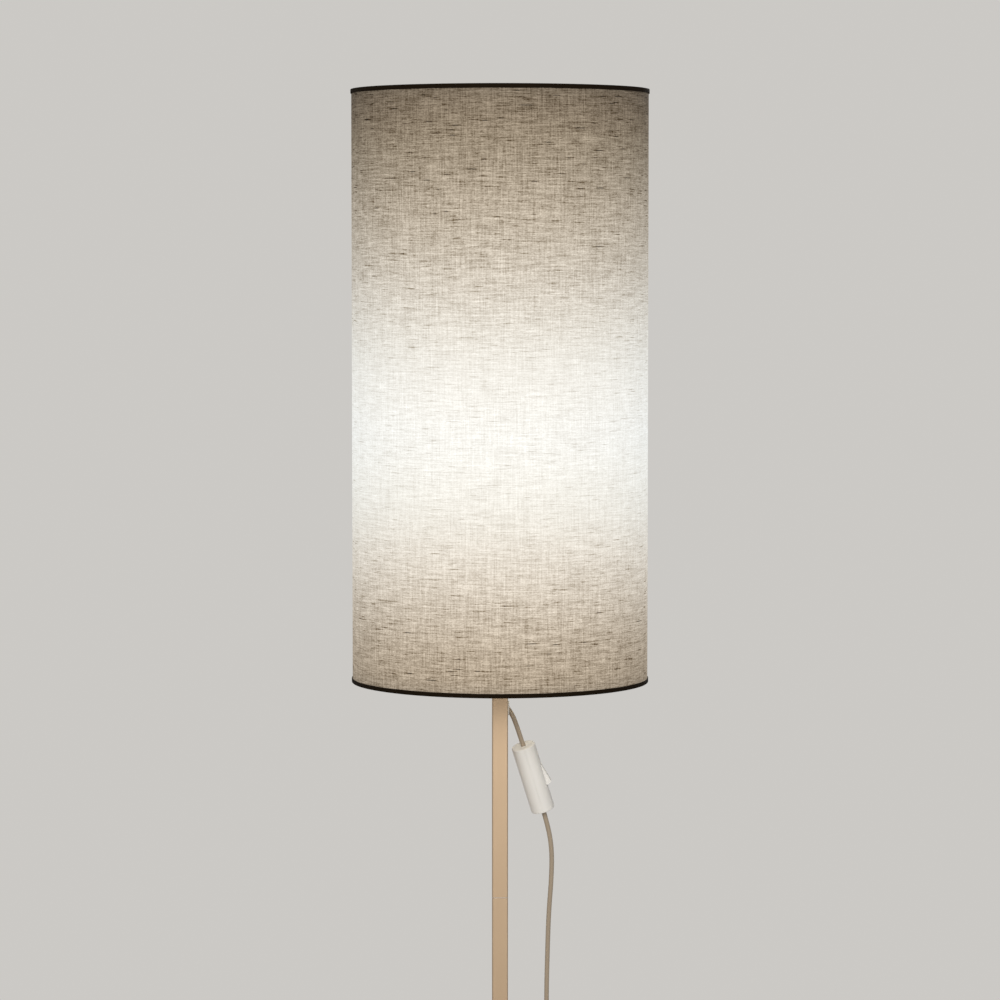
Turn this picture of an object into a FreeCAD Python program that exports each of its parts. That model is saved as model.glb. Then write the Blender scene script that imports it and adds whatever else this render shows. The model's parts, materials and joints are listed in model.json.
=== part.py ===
import FreeCAD, Part
import math
import os

# Column floor lamp: a tall linen drum shade on a slim square pole, with a round in-line rocker switch.
#
# Millimetres. +Z is up and the front of the lamp faces -Y. The origin is on the floor, on the pole's axis.
# The cord leaves the pole's right side (+X) just under the shade, carries the switch, drops behind the
# base and is put away in a coil beside it, with the plug next to the coil.

Vector = FreeCAD.Vector
UP = Vector(0, 0, 1)
RIGHT = Vector(1, 0, 0)
BACK = Vector(0, 1, 0)

# --- base: steel disc on a thin pad, bolted to the pole from below ---
base_diameter = 280.0
base_thickness = 10.0
base_edge_radius = 2.0
base_recess_depth = 1.5
pad_thickness = 2.0
pad_inset = 5.0
pad_hole_diameter = 60.0
bolt_diameter = 8.0
bolt_length = 28.0
bolt_head_diameter = 14.0
bolt_head_height = 4.2
bolt_socket_width = 5.0
bolt_socket_depth = 2.6
washer_diameter = 18.0
washer_thickness = 1.2
counterbore_clearance = 1.0

# --- pole: two square tubes butted on a coupler ---
tube_side = 19.0
tube_wall = 1.2
tube_corner_radius = 1.6
tube_end_chamfer = 0.3
lower_tube_length = 440.0
upper_tube_length = 440.0
recess_clearance = 0.2
insert_clearance = 0.1
foot_insert_length = 34.0
coupler_reach = 42.0
coupler_plate_thickness = 0.6
coupler_plate_inset = 0.5
coupler_bore_diameter = 9.0
insert_corner_radius = 1.8
coupler_lead_chamfer = 1.0
joint_screw_diameter = 4.0
joint_screw_length = 5.5
joint_screw_head_diameter = 7.0
joint_screw_head_height = 2.2
joint_screw_offset = 20.0
thread_clearance = 0.05
hole_clearance = 0.3

# --- pole top and lampholder ---
top_plug_flange = 2.0
top_plug_reach = 16.0
nipple_diameter = 10.0
nipple_bore_diameter = 8.0
nipple_reach = 6.5
nut_width = 14.0
nut_height = 3.0
nut_corner_trim = 0.2
cap_height = 22.0
cap_boss_diameter = 17.0
cap_boss_height = 4.0
cap_floor = 3.5
holder_diameter = 39.4
holder_wall = 2.0
holder_flange_diameter = 47.0
holder_flange_thickness = 2.5
holder_spigot_length = 6.0
holder_height = 31.0
holder_fit_clearance = 0.1
insert_height = 11.0
insert_rise = 4.4
wire_channel_diameter = 5.0
wire_channel_spacing = 7.7
terminal_spacing = 17.0
strip_thickness = 0.6
strip_width = 5.0
side_contact_height = 8.5
terminal_drop = 4.5
terminal_screw_inset = 2.9
terminal_screw_diameter = 3.0
terminal_screw_head_diameter = 5.0
terminal_screw_head_height = 1.6
terminal_screw_length = 4.0
terminal_slot_width = 0.8
terminal_slot_depth = 0.7
thread_shell_wall = 0.6
thread_shell_start = 9.5
thread_shell_margin = 1.5
ring_nut_diameter = 55.0
ring_nut_height = 8.0
ring_nut_flange = 2.5
ring_nut_grip_diameter = 46.0
ring_nut_notches = 12
ring_nut_notch_diameter = 4.0

# --- bulb ---
bulb_diameter = 60.0
bulb_length = 107.0
bulb_wall = 1.2
bulb_cap_diameter = 26.4
bulb_cap_wall = 0.5
bulb_cap_length = 27.0
bulb_cap_lip_width = 4.0
bulb_cap_draw = 2.5
bulb_contact_diameter = 9.6
bulb_contact_height = 1.6
bulb_insulator_height = 4.0
bulb_insulator_rim = 0.8
bulb_body_height = 27.0
bulb_collar_step = 0.6
bulb_spigot_length = 6.5
bulb_flare = 0.45
bulb_gap = 0.3

# --- shade ---
shade_diameter = 350.0
shade_height = 700.0
linen_thickness = 0.5
liner_thickness = 0.4
laminate_gap = 0.05
frame_height = 211.0
frame_wire_diameter = 4.0
frame_arms = 3
frame_arm_run = 14.0
frame_arm_weld = 1.0
hub_diameter = 62.0
hub_thickness = 1.6
hub_clearance = 0.4
ring_clearance = 0.3
trim_height = 5.2
trim_inner_height = 2.8
trim_thickness = 1.0

# --- cord, its bushing in the pole and the switch on it ---
cord_diameter = 5.65
cord_clearance = 0.1
cord_exit_drop = 216.4
cord_exit_angle = 34.0
bushing_head = 1.5
bushing_head_chamfer = 0.7
bushing_head_rim = 0.9
bushing_neck_wall = 0.8
bushing_lip = 0.8
core_diameter = 2.2
core_clearance = 0.1
core_bend_rise = 2.5
rod_sides = 8
sheath_end_height = 7.0
switch_diameter = 28.5
switch_length = 85.0
switch_wall = 1.8
switch_wall_bond = 0.2
switch_end_wall = 2.5
switch_edge_radius = 0.9
switch_mouth_clearance = 0.35
switch_seam_width = 0.5
switch_seam_depth = 0.9
switch_side_lean = 16.8
switch_front_lean = 13.6
switch_right_of_exit = 16.65
switch_behind_exit = 8.0
switch_below_exit = 43.4
rib_thickness = 2.0
rib_inset = 14.0
rib_grip = 0.1
shell_screw_diameter = 2.6
shell_screw_head_diameter = 4.6
shell_screw_head_height = 1.8
shell_screw_length = 13.0
shell_slot_width = 0.7
shell_slot_depth = 0.8
shell_screw_back = 7.6
shell_screw_inset = 24.0
boss_wall = 1.3
rocker_width = 10.0
rocker_half_length = 12.4
rocker_flare = 1.0
rocker_rise = 8.0
rocker_depth = 3.0
rocker_edge_radius = 0.6
rocker_shoulder_drop = 1.5
rocker_tilt = 13.5
rocker_pivot_reach = 9.0
rocker_side_gap = 0.35
rocker_end_gap = 0.5
rocker_pin_diameter = 2.0
rocker_pin_clearance = 0.05
lug_thickness = 1.8
lug_half_length = 3.0
bridge_thickness = 0.8
bridge_length = 4.0
bridge_width = 9.0
bridge_offset = 7.7
contact_gap = 0.3
contact_width = 2.6
contact_spacing = 6.0
contact_head_length = 2.4
contact_strip_margin = 1.5
pedestal_length = 4.0
terminal_block_length = 7.0
terminal_block_height = 5.0
terminal_block_reach = 17.0
terminal_block_margin = 0.7
terminal_bore_diameter = 1.8
terminal_bore_rise = 1.8
contact_screw_diameter = 2.0
contact_screw_reach = 2.7
contact_screw_head_diameter = 3.8
contact_screw_head_height = 1.2
contact_slot_width = 0.6
contact_slot_depth = 0.5
contact_floor = 1.0

# --- route of the lower cord, the coil, the tail and the plug ---
coil_centre_x = 133.0
coil_centre_y = 139.0
coil_turns = 6.25
coil_turn_gap = 0.6
coil_mean_diameter = 62.0
coil_start_angle = 90.0
coil_radial_turns = 3.0
tie_thickness = 0.8
tie_width = 12.0
tie_clearance = 0.35
tie_angle = 270.0
floor_gap = 0.05
plug_width = 35.3
plug_thickness = 13.7
plug_face_length = 11.0
plug_taper_length = 19.0
plug_neck_diameter = 11.0
plug_relief_length = 22.0
plug_relief_end_diameter = 7.6
plug_relief_root_diameter = 10.2
plug_waist_place = 0.45
plug_waist_gain = 0.34
plug_corner_radius = 4.0
plug_rim_chamfer = 0.8
plug_centre_x = 161.0
plug_mouth_y = 60.0
pin_diameter = 4.0
pin_length = 19.0
pin_seat_depth = 8.0
pin_spacing = 18.6
plug_cord_depth = 15.0

# --- places worked out from the sizes above ---
cord_radius = cord_diameter / 2
base_bottom = pad_thickness
base_top = base_bottom + base_thickness
lower_tube_bottom = base_top - base_recess_depth
lower_tube_top = lower_tube_bottom + lower_tube_length
upper_tube_bottom = lower_tube_top + coupler_plate_thickness
upper_tube_top = upper_tube_bottom + upper_tube_length
tube_inside = tube_side - 2 * tube_wall
insert_side = tube_inside - 2 * insert_clearance
tube_inner_corner_radius = max(tube_corner_radius - tube_wall, 0.3)
counterbore_depth = washer_thickness + bolt_head_height
pole_top = upper_tube_top + top_plug_flange
cap_bottom = pole_top + nut_height
cap_top = cap_bottom + cap_height
holder_seat = cap_top + holder_flange_thickness
holder_top = holder_seat + holder_height
side_contact_outer = bulb_cap_diameter / 2 + bulb_gap + strip_thickness
holder_bore_radius = math.hypot(side_contact_outer, strip_width / 2) + holder_fit_clearance
insert_top = holder_seat + insert_rise
insert_bottom = insert_top - insert_height
strip_rise = 0.1
bulb_bottom = insert_top + strip_rise + strip_thickness + bulb_gap
bulb_top = bulb_bottom + bulb_length
bulb_centre = bulb_top - bulb_diameter / 2
bulb_cap_top = bulb_bottom + bulb_cap_length
shade_bottom = holder_seat - frame_height
shade_top = shade_bottom + shade_height
linen_inner_radius = shade_diameter / 2 - linen_thickness
liner_outer_radius = linen_inner_radius - laminate_gap
liner_inner_radius = liner_outer_radius - liner_thickness
frame_ring_radius = liner_inner_radius - ring_clearance - frame_wire_diameter / 2
frame_ring_lift = trim_thickness + ring_clearance + frame_wire_diameter / 2
trim_outer_radius = shade_diameter / 2 + laminate_gap + trim_thickness
trim_inner_radius = frame_ring_radius - frame_wire_diameter / 2 - ring_clearance - trim_thickness
cord_exit_tangent = math.tan(math.radians(cord_exit_angle))
cord_exit_direction = Vector(
    math.sin(math.radians(cord_exit_angle)), 0, -math.cos(math.radians(cord_exit_angle))
)
cord_exit = Vector(tube_side / 2 + bushing_head, 0, upper_tube_top - cord_exit_drop)
coil_pitch = cord_diameter + coil_turn_gap
coil_low = floor_gap + tie_thickness + tie_clearance + cord_radius
plug_middle_height = floor_gap + plug_thickness / 2


# ---------------------------------------------------------------- general helpers
def unit(vector):
    """The vector at length one."""
    return vector * (1 / vector.Length)


def disc(radius, bottom, top, x=0.0, y=0.0):
    """An upright cylinder between two heights."""
    return Part.makeCylinder(radius, top - bottom, Vector(x, y, bottom), UP)


def pipe_ring(outer, inner, bottom, top):
    """An upright tube with a round bore."""
    return disc(outer, bottom, top).cut(disc(inner, bottom - 1, top + 1))


def block(low, high):
    """A box between two opposite corners."""
    size = high - low
    return Part.makeBox(size.x, size.y, size.z, low)


def rounded_outline(width, depth, corner, height=0.0):
    """A flat rectangle centred on the axis, with round corners, as a wire at a height."""
    half_width = width / 2
    half_depth = depth / 2
    slant = corner * (1 - math.sqrt(0.5))
    edges = []
    for turn in range(4):
        sign_x = (1, -1, -1, 1)[turn]
        sign_y = (1, 1, -1, -1)[turn]
        along_x = Vector(sign_x * (half_width - corner), sign_y * half_depth, height)
        middle = Vector(sign_x * (half_width - slant), sign_y * (half_depth - slant), height)
        along_y = Vector(sign_x * half_width, sign_y * (half_depth - corner), height)
        ends = (along_y, along_x) if turn % 2 == 0 else (along_x, along_y)
        if edges and (edges[-1].Vertexes[-1].Point - ends[0]).Length > 1e-6:
            edges.append(Part.LineSegment(edges[-1].Vertexes[-1].Point, ends[0]).toShape())
        edges.append(Part.Arc(ends[0], middle, ends[1]).toShape())
    last = edges[-1].Vertexes[-1].Point
    first = edges[0].Vertexes[0].Point
    if (last - first).Length > 1e-6:
        edges.append(Part.LineSegment(last, first).toShape())
    return Part.Wire(edges)


def rounded_bar(width, depth, corner, bottom, top):
    """An upright bar of rectangular section with round corners."""
    return Part.Face(rounded_outline(width, depth, corner, bottom)).extrude(UP * (top - bottom))


def edges_at_height(shape, height):
    """The edges that lie flat at one height."""
    found = []
    for edge in shape.Edges:
        if abs(edge.BoundBox.ZMin - height) < 1e-6 and abs(edge.BoundBox.ZMax - height) < 1e-6:
            found.append(edge)
    return found


def hexagon_bar(width, bottom, top):
    """An upright hexagonal bar, measured across its flats."""
    reach = width / math.sqrt(3)
    corners = []
    for side in range(7):
        angle = math.radians(60 * side)
        corners.append(Vector(reach * math.cos(angle), reach * math.sin(angle), bottom))
    return Part.Face(Part.makePolygon(corners)).extrude(UP * (top - bottom))


def turned_polygon(points):
    """A solid turned about the Z axis from straight lines through (radius, height) points."""
    places = [Vector(radius, 0, height) for radius, height in points + points[:1]]
    solid = Part.Face(Part.makePolygon(places)).revolve(Vector(0, 0, 0), UP, 360)
    if solid.Volume < 0:
        solid.reverse()
    return solid


def round_route(points):
    """Straight runs joined by tangent arcs as large as the runs allow, and the arcs' radii."""
    edges = []
    radii = []
    start = points[0]
    for before, corner, after in zip(points, points[1:], points[2:]):
        back = before - corner
        ahead = after - corner
        setback = 0.45 * min(back.Length, ahead.Length)
        half_turn = (math.pi - back.getAngle(ahead)) / 2
        radius = setback / math.tan(half_turn)
        arc_start = corner + unit(back) * setback
        arc_end = corner + unit(ahead) * setback
        inward = unit(unit(back) + unit(ahead))
        middle = corner + inward * (radius / math.cos(half_turn) - radius)
        edges.append(Part.LineSegment(start, arc_start).toShape())
        edges.append(Part.Arc(arc_start, middle, arc_end).toShape())
        radii.append(radius)
        start = arc_end
    edges.append(Part.LineSegment(start, points[-1]).toShape())
    return Part.Wire(edges), radii


def section_outline(centre, heading, diameter):
    """A rod's many-sided section, square to a heading, with its corners on the round one."""
    side = unit(heading.cross(UP)) if abs(heading.z) < 0.9 else unit(heading.cross(RIGHT))
    rise = unit(side.cross(heading))
    corners = []
    for corner in range(rod_sides + 1):
        angle = 2 * math.pi * (corner + 0.5) / rod_sides
        corners.append(centre + (side * math.cos(angle) + rise * math.sin(angle)) * (diameter / 2))
    return Part.makePolygon(corners)


def section_area(diameter):
    """Area of a rod's many-sided section."""
    return rod_sides * math.sin(2 * math.pi / rod_sides) * diameter**2 / 8


def tube_along(wire, diameter):
    """A rod that follows a smooth wire."""
    first = wire.OrderedEdges[0]
    heading = first.tangentAt(first.FirstParameter)
    start = first.valueAt(first.FirstParameter)
    rod = wire.makePipeShell([section_outline(start, heading, diameter)], True, False)
    if rod.Volume < 0:
        rod.reverse()
    return rod


def routed_rod(name, points, diameter):
    """A rod through route points. Prints its bend radii and its volume against section times length."""
    wire, radii = round_route(points)
    rod = tube_along(wire, diameter)
    expected = section_area(diameter) * wire.Length
    print(name, "length %.1f" % wire.Length, "volume ratio %.4f" % (rod.Volume / expected),
          "radii", " ".join("%.0f" % radius for radius in radii))
    return rod


# ---------------------------------------------------------------- base
def base_pad():
    """Thin pad glued under the steel disc, open around the bolt."""
    outer = base_diameter / 2 - pad_inset
    return pipe_ring(outer, pad_hole_diameter / 2, 0, pad_thickness)


def base_plate():
    """Round steel disc with a rounded top edge, a square seat for the pole and a counterbore below."""
    radius = base_diameter / 2
    soft = base_edge_radius
    plate = turned_polygon(
        [
            (0, base_bottom),
            (radius, base_bottom),
            (radius, base_top - soft),
            (radius - soft * 0.3, base_top - soft * 0.3),
            (radius - soft, base_top),
            (0, base_top),
        ]
    )
    seat_side = tube_side + 2 * recess_clearance
    seat = rounded_bar(seat_side, seat_side, tube_corner_radius, lower_tube_bottom, base_top + 1)
    bore = disc(bolt_diameter / 2 + hole_clearance, base_bottom - 1, base_top + 1)
    counterbore_radius = washer_diameter / 2 + counterbore_clearance
    counterbore = disc(counterbore_radius, base_bottom - 1, base_bottom + counterbore_depth)
    return plate.cut(seat).cut(bore).cut(counterbore)


def base_washer():
    """Washer between the bolt's head and the counterbore's seat."""
    top = base_bottom + counterbore_depth
    return pipe_ring(washer_diameter / 2, bolt_diameter / 2 + hole_clearance, top - washer_thickness, top)


def base_bolt():
    """Socket-head bolt that pulls the pole onto the base."""
    head_bottom = base_bottom
    head_top = head_bottom + bolt_head_height
    head = disc(bolt_head_diameter / 2, head_bottom, head_top)
    head = head.makeChamfer(bolt_head_height / 6, edges_at_height(head, head_bottom))
    shank = disc(bolt_diameter / 2, head_top, head_top + bolt_length)
    socket = hexagon_bar(bolt_socket_width, head_bottom - 1, head_bottom + bolt_socket_depth)
    return head.fuse(shank).cut(socket).removeSplitter()


# ---------------------------------------------------------------- pole
def square_tube(bottom, top):
    """Square tube with round corners and lightly chamfered ends."""
    outside = rounded_bar(tube_side, tube_side, tube_corner_radius, bottom, top)
    ends = edges_at_height(outside, bottom) + edges_at_height(outside, top)
    outside = outside.makeChamfer(tube_end_chamfer, ends)
    inside = rounded_bar(tube_inside, tube_inside, tube_inner_corner_radius, bottom - 1, top + 1)
    return outside.cut(inside)


def joint_screw_heights():
    """Heights of the two screws that hold the coupler, one in each tube."""
    return [lower_tube_top - joint_screw_offset, upper_tube_bottom + joint_screw_offset]


def screw_hole(height, radius):
    """Horizontal hole through the pole's back wall."""
    return Part.makeCylinder(radius, tube_side, Vector(0, 0, height), BACK)


def lower_tube():
    """Lower half of the pole."""
    tube = square_tube(lower_tube_bottom, lower_tube_top)
    return tube.cut(screw_hole(joint_screw_heights()[0], joint_screw_diameter / 2 + hole_clearance))


def upper_tube():
    """Upper half of the pole, with the oblong hole for the cord's bushing in its right wall."""
    tube = square_tube(upper_tube_bottom, upper_tube_top)
    tube = tube.cut(screw_hole(joint_screw_heights()[1], joint_screw_diameter / 2 + hole_clearance))
    return tube.cut(bushing_neck(thread_clearance, tube_side / 2 + 1))


def pole_foot_insert():
    """Threaded square plug fixed in the pole's foot, for the bolt."""
    top = lower_tube_bottom + foot_insert_length
    plug = rounded_bar(insert_side, insert_side, insert_corner_radius, lower_tube_bottom, top)
    plug = plug.makeChamfer(coupler_lead_chamfer, edges_at_height(plug, top))
    return plug.cut(disc(bolt_diameter / 2 + thread_clearance, lower_tube_bottom - 1, top + 1))


def pole_coupler():
    """Square bar inside both tubes, with the thin plate that shows as the pole's joint line."""
    bottom = lower_tube_top - coupler_reach
    top = upper_tube_bottom + coupler_reach
    bar = rounded_bar(insert_side, insert_side, insert_corner_radius, bottom, top)
    ends = edges_at_height(bar, bottom) + edges_at_height(bar, top)
    bar = bar.makeChamfer(coupler_lead_chamfer, ends)
    plate_side = tube_side - 2 * coupler_plate_inset
    plate = rounded_bar(plate_side, plate_side, tube_corner_radius, lower_tube_top, upper_tube_bottom)
    coupler = bar.fuse(plate).removeSplitter()
    coupler = coupler.cut(disc(coupler_bore_diameter / 2, bottom - 1, top + 1))
    for height in joint_screw_heights():
        coupler = coupler.cut(screw_hole(height, joint_screw_diameter / 2 + thread_clearance))
    return coupler


def coupler_screws():
    """Two pan-head screws through the pole's back wall into the coupler."""
    screws = []
    for height in joint_screw_heights():
        face = tube_side / 2
        head_radius = joint_screw_head_diameter / 2
        head = Part.makeCylinder(head_radius, joint_screw_head_height, Vector(0, face, height), BACK)
        outer_edges = [edge for edge in head.Edges if edge.BoundBox.YMin > face + 1]
        head = head.makeChamfer(joint_screw_head_height / 3, outer_edges)
        tip = face - tube_wall - joint_screw_length
        length = face - tip
        shank = Part.makeCylinder(joint_screw_diameter / 2, length, Vector(0, tip, height), BACK)
        screws.append(head.fuse(shank).removeSplitter())
    return Part.makeCompound(screws)


def pole_top_plug():
    """Square plug with a flange that closes the pole's top and holds the threaded nipple."""
    bottom = upper_tube_top - top_plug_reach
    bar = rounded_bar(insert_side, insert_side, insert_corner_radius, bottom, upper_tube_top)
    bar = bar.makeChamfer(coupler_lead_chamfer, edges_at_height(bar, bottom))
    flange = rounded_bar(tube_side, tube_side, tube_corner_radius, upper_tube_top, pole_top)
    flange = flange.makeChamfer(top_plug_flange / 4, edges_at_height(flange, pole_top))
    bore = disc(nipple_diameter / 2 + thread_clearance, bottom - 1, pole_top + 1)
    return bar.fuse(flange).removeSplitter().cut(bore)


def threaded_nipple():
    """Hollow threaded tube that carries the lampholder and lets the cord through."""
    bottom = upper_tube_top - top_plug_reach
    return pipe_ring(nipple_diameter / 2, nipple_bore_diameter / 2, bottom, cap_bottom + nipple_reach)


def nipple_lock_nut():
    """Low hexagonal nut that locks the nipple on the pole's top."""
    nut = hexagon_bar(nut_width, pole_top, cap_bottom)
    round_off = Part.makeCone(
        nut_width / 2 + nut_height, nut_width / 2, nut_height, Vector(0, 0, pole_top), UP
    )
    trimmed = disc(nut_width / math.sqrt(3) - nut_corner_trim, pole_top, cap_bottom)
    nut = nut.common(trimmed.common(round_off))
    return nut.cut(disc(nipple_diameter / 2 + thread_clearance, pole_top - 1, cap_bottom + 1))


# ---------------------------------------------------------------- lampholder
def lampholder_cap():
    """Dished cap under the lampholder, screwed on the nipple."""
    outer = holder_diameter / 2
    inner = outer - holder_wall
    boss = cap_boss_diameter / 2
    wall_start = cap_bottom + cap_height / 2
    bowl_low = cap_bottom + cap_boss_height / 2
    outside = [(0, cap_bottom), (boss, cap_bottom)]
    for step in range(4):
        angle = math.pi / 6 * step
        radius = boss + (outer - boss) * math.sin(angle)
        outside.append((radius, wall_start - (wall_start - bowl_low) * math.cos(angle)))
    outside += [(outer, cap_top), (0, cap_top)]
    body = turned_polygon(outside)
    floor = cap_bottom + cap_floor
    hollow = turned_polygon(
        [(0, floor), (boss - 1, floor), (inner, wall_start + 1), (inner, cap_top + 1), (0, cap_top + 1)]
    )
    bore = disc(nipple_diameter / 2 + thread_clearance, cap_bottom - 1, floor + 1)
    return body.cut(hollow).cut(bore)


def lampholder_skirt():
    """Outer sleeve of the lampholder: a spigot in the cap, the shade's shoulder and the ring's barrel."""
    spigot_radius = holder_diameter / 2 - holder_wall - holder_fit_clearance
    spigot = disc(spigot_radius, cap_top - holder_spigot_length, cap_top)
    shoulder = disc(holder_flange_diameter / 2, cap_top, holder_seat)
    barrel = disc(holder_diameter / 2, holder_seat, holder_top)
    barrel = barrel.makeChamfer(holder_wall / 2, edges_at_height(barrel, holder_top))
    sleeve = spigot.fuse(shoulder).fuse(barrel).removeSplitter()
    return sleeve.cut(disc(holder_bore_radius, cap_top - holder_spigot_length - 1, holder_top + 1))


def terminal_offsets():
    """Places of the two terminals, left and right of the lampholder's axis."""
    return [-terminal_spacing / 2, terminal_spacing / 2]


def lampholder_insert():
    """Insulating disc in the sleeve, with two wire channels and slots for the contact strips."""
    insert = disc(holder_bore_radius - holder_fit_clearance, insert_bottom, insert_top)
    for offset in terminal_offsets():
        slot = block(
            Vector(offset - strip_thickness, -strip_width / 2 - hole_clearance, insert_bottom - 1),
            Vector(offset + strip_thickness, strip_width / 2 + hole_clearance, insert_top + 1),
        )
        channel_x = math.copysign(wire_channel_spacing / 2, offset)
        channel = disc(wire_channel_diameter / 2, insert_bottom - 1, insert_bottom + insert_height / 2,
                       channel_x, 0)
        insert = insert.cut(slot).cut(channel)
    return insert


def contact_leg(offset):
    """Upright leg of a contact strip in its slot, with the foot that takes the terminal screw."""
    half_width = strip_width / 2
    half_thickness = strip_thickness / 2
    foot_bottom = insert_bottom - terminal_drop
    leg = block(
        Vector(offset - half_thickness, -half_width, foot_bottom),
        Vector(offset + half_thickness, half_width, insert_top + strip_rise + strip_thickness),
    )
    inward = -1 if offset > 0 else 1
    low_x = min(offset, offset + inward * strip_width)
    high_x = max(offset, offset + inward * strip_width)
    foot = block(
        Vector(low_x, -half_width, foot_bottom),
        Vector(high_x, half_width, foot_bottom + strip_thickness),
    )
    hole_x = offset + inward * terminal_screw_inset
    hole = disc(terminal_screw_diameter / 2 + thread_clearance, foot_bottom - 1,
                foot_bottom + strip_thickness + 1, hole_x, 0)
    return leg.fuse(foot).removeSplitter().cut(hole)


def centre_contact():
    """Spring strip that rises under the bulb's contact."""
    offset = terminal_offsets()[0]
    low = insert_top + strip_rise
    tongue = block(
        Vector(offset - strip_thickness / 2, -strip_width / 2, low),
        Vector(strip_width / 2, strip_width / 2, low + strip_thickness),
    )
    return contact_leg(offset).fuse(tongue).removeSplitter()


def side_contact():
    """Strip that bends out and up beside the bulb's screw cap."""
    offset = terminal_offsets()[1]
    low = insert_top + strip_rise
    outer = side_contact_outer
    step = block(
        Vector(offset - strip_thickness / 2, -strip_width / 2, low),
        Vector(outer, strip_width / 2, low + strip_thickness),
    )
    half_width = strip_width / 2
    riser = block(
        Vector(outer - strip_thickness, -half_width, low),
        Vector(outer, half_width, low + side_contact_height),
    )
    return contact_leg(offset).fuse(step).fuse(riser).removeSplitter()


def terminal_screws():
    """Two small screws that clamp the cores under the contact feet."""
    screws = []
    for offset in terminal_offsets():
        inward = -1 if offset > 0 else 1
        x = offset + inward * terminal_screw_inset
        foot = insert_bottom - terminal_drop
        head_low = foot - terminal_screw_head_height
        head = disc(terminal_screw_head_diameter / 2, head_low, foot, x, 0)
        head = head.makeChamfer(terminal_screw_head_height / 4, edges_at_height(head, head_low))
        half_slot = terminal_slot_width / 2
        slot = block(
            Vector(x - terminal_screw_head_diameter, -half_slot, head_low - 1),
            Vector(x + terminal_screw_head_diameter, half_slot, head_low + terminal_slot_depth),
        )
        shank = disc(terminal_screw_diameter / 2, foot, foot + terminal_screw_length, x, 0)
        screws.append(head.fuse(shank).removeSplitter().cut(slot))
    return Part.makeCompound(screws)


def lampholder_thread_shell():
    """Thin metal sleeve that takes the bulb's screw cap."""
    inner = bulb_cap_diameter / 2 + bulb_gap
    bottom = insert_top + thread_shell_start
    return pipe_ring(inner + thread_shell_wall, inner, bottom, holder_top - thread_shell_margin)


def shade_ring_nut():
    """Ring that screws down on the lampholder's barrel and clamps the shade's hub, with finger notches."""
    bottom = holder_seat + hub_thickness
    top = bottom + ring_nut_height
    flange = disc(ring_nut_diameter / 2, bottom, bottom + ring_nut_flange)
    grip = disc(ring_nut_grip_diameter / 2, bottom + ring_nut_flange, top)
    grip = grip.makeChamfer(ring_nut_height / 8, edges_at_height(grip, top))
    ring = flange.fuse(grip).removeSplitter()
    ring = ring.cut(disc(holder_diameter / 2 + holder_fit_clearance, bottom - 1, top + 1))
    for notch in range(ring_nut_notches):
        angle = 2 * math.pi * notch / ring_nut_notches
        x = ring_nut_diameter / 2 * math.cos(angle)
        y = ring_nut_diameter / 2 * math.sin(angle)
        ring = ring.cut(disc(ring_nut_notch_diameter / 2, bottom - 1, bottom + ring_nut_flange + 1, x, y))
    return ring


# ---------------------------------------------------------------- bulb
def dome_profile(radius, low_angle, steps):
    """Points of a ball's outline from its top down to an angle below its equator."""
    points = []
    for step in range(steps + 1):
        angle = math.pi / 2 - (math.pi / 2 + low_angle) * step / steps
        points.append((radius * math.cos(angle), bulb_centre + radius * math.sin(angle)))
    return points


def bulb_globe():
    """Opal dome of the bulb: a hollow ball, open where the collar closes it."""
    radius = bulb_diameter / 2
    drop = bulb_centre - bulb_cap_top - bulb_body_height
    inner = radius - bulb_wall
    outside = dome_profile(radius, math.asin(drop / radius), 9)
    inside = dome_profile(inner, math.asin(drop / inner), 4)
    return turned_polygon(outside + inside[::-1])


def bulb_body():
    """Plastic collar between the dome and the screw cap, flared like a trumpet."""
    top = bulb_cap_top + bulb_body_height
    drop = bulb_centre - top
    rim = math.sqrt((bulb_diameter / 2) ** 2 - drop**2)
    neck = bulb_cap_diameter / 2 + bulb_collar_step
    seat = bulb_cap_diameter / 2 - bulb_cap_wall - bulb_gap / 3
    low = bulb_cap_top - bulb_spigot_length
    flare = [(0, low), (seat, low), (seat, bulb_cap_top)]
    for step in range(5):
        share = step / 4
        radius = rim - (rim - neck) * math.cos(math.pi / 2 * share)
        rise = bulb_flare * math.sin(math.pi / 2 * share) + (1 - bulb_flare) * share
        flare.append((radius, bulb_cap_top + bulb_body_height * rise))
    flare.append((0, top))
    return turned_polygon(flare)


def bulb_cap():
    """Metal screw cap of the bulb, drawn in at its lower end."""
    outer = bulb_cap_diameter / 2
    bottom = bulb_bottom + bulb_contact_height + bulb_insulator_height
    lip = bulb_contact_diameter / 2 + bulb_cap_lip_width
    return turned_polygon(
        [
            (lip, bottom),
            (outer, bottom + bulb_cap_draw),
            (outer, bulb_cap_top),
            (outer - bulb_cap_wall, bulb_cap_top),
            (outer - bulb_cap_wall, bottom + bulb_cap_draw + bulb_gap),
            (lip, bottom + bulb_cap_wall),
        ]
    )


def bulb_insulator():
    """Dark ring between the screw cap and the contact."""
    bottom = bulb_bottom + bulb_contact_height
    top = bottom + bulb_insulator_height
    lip = bulb_contact_diameter / 2 + bulb_cap_lip_width
    rim = bulb_contact_diameter / 2 + bulb_insulator_rim
    return turned_polygon([(0, bottom), (rim, bottom), (lip, top), (0, top)])


def bulb_contact():
    """Contact button at the bulb's foot."""
    top = bulb_bottom + bulb_contact_height
    button = disc(bulb_contact_diameter / 2, bulb_bottom, top)
    return button.makeChamfer(bulb_contact_height / 2, edges_at_height(button, bulb_bottom))


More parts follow.
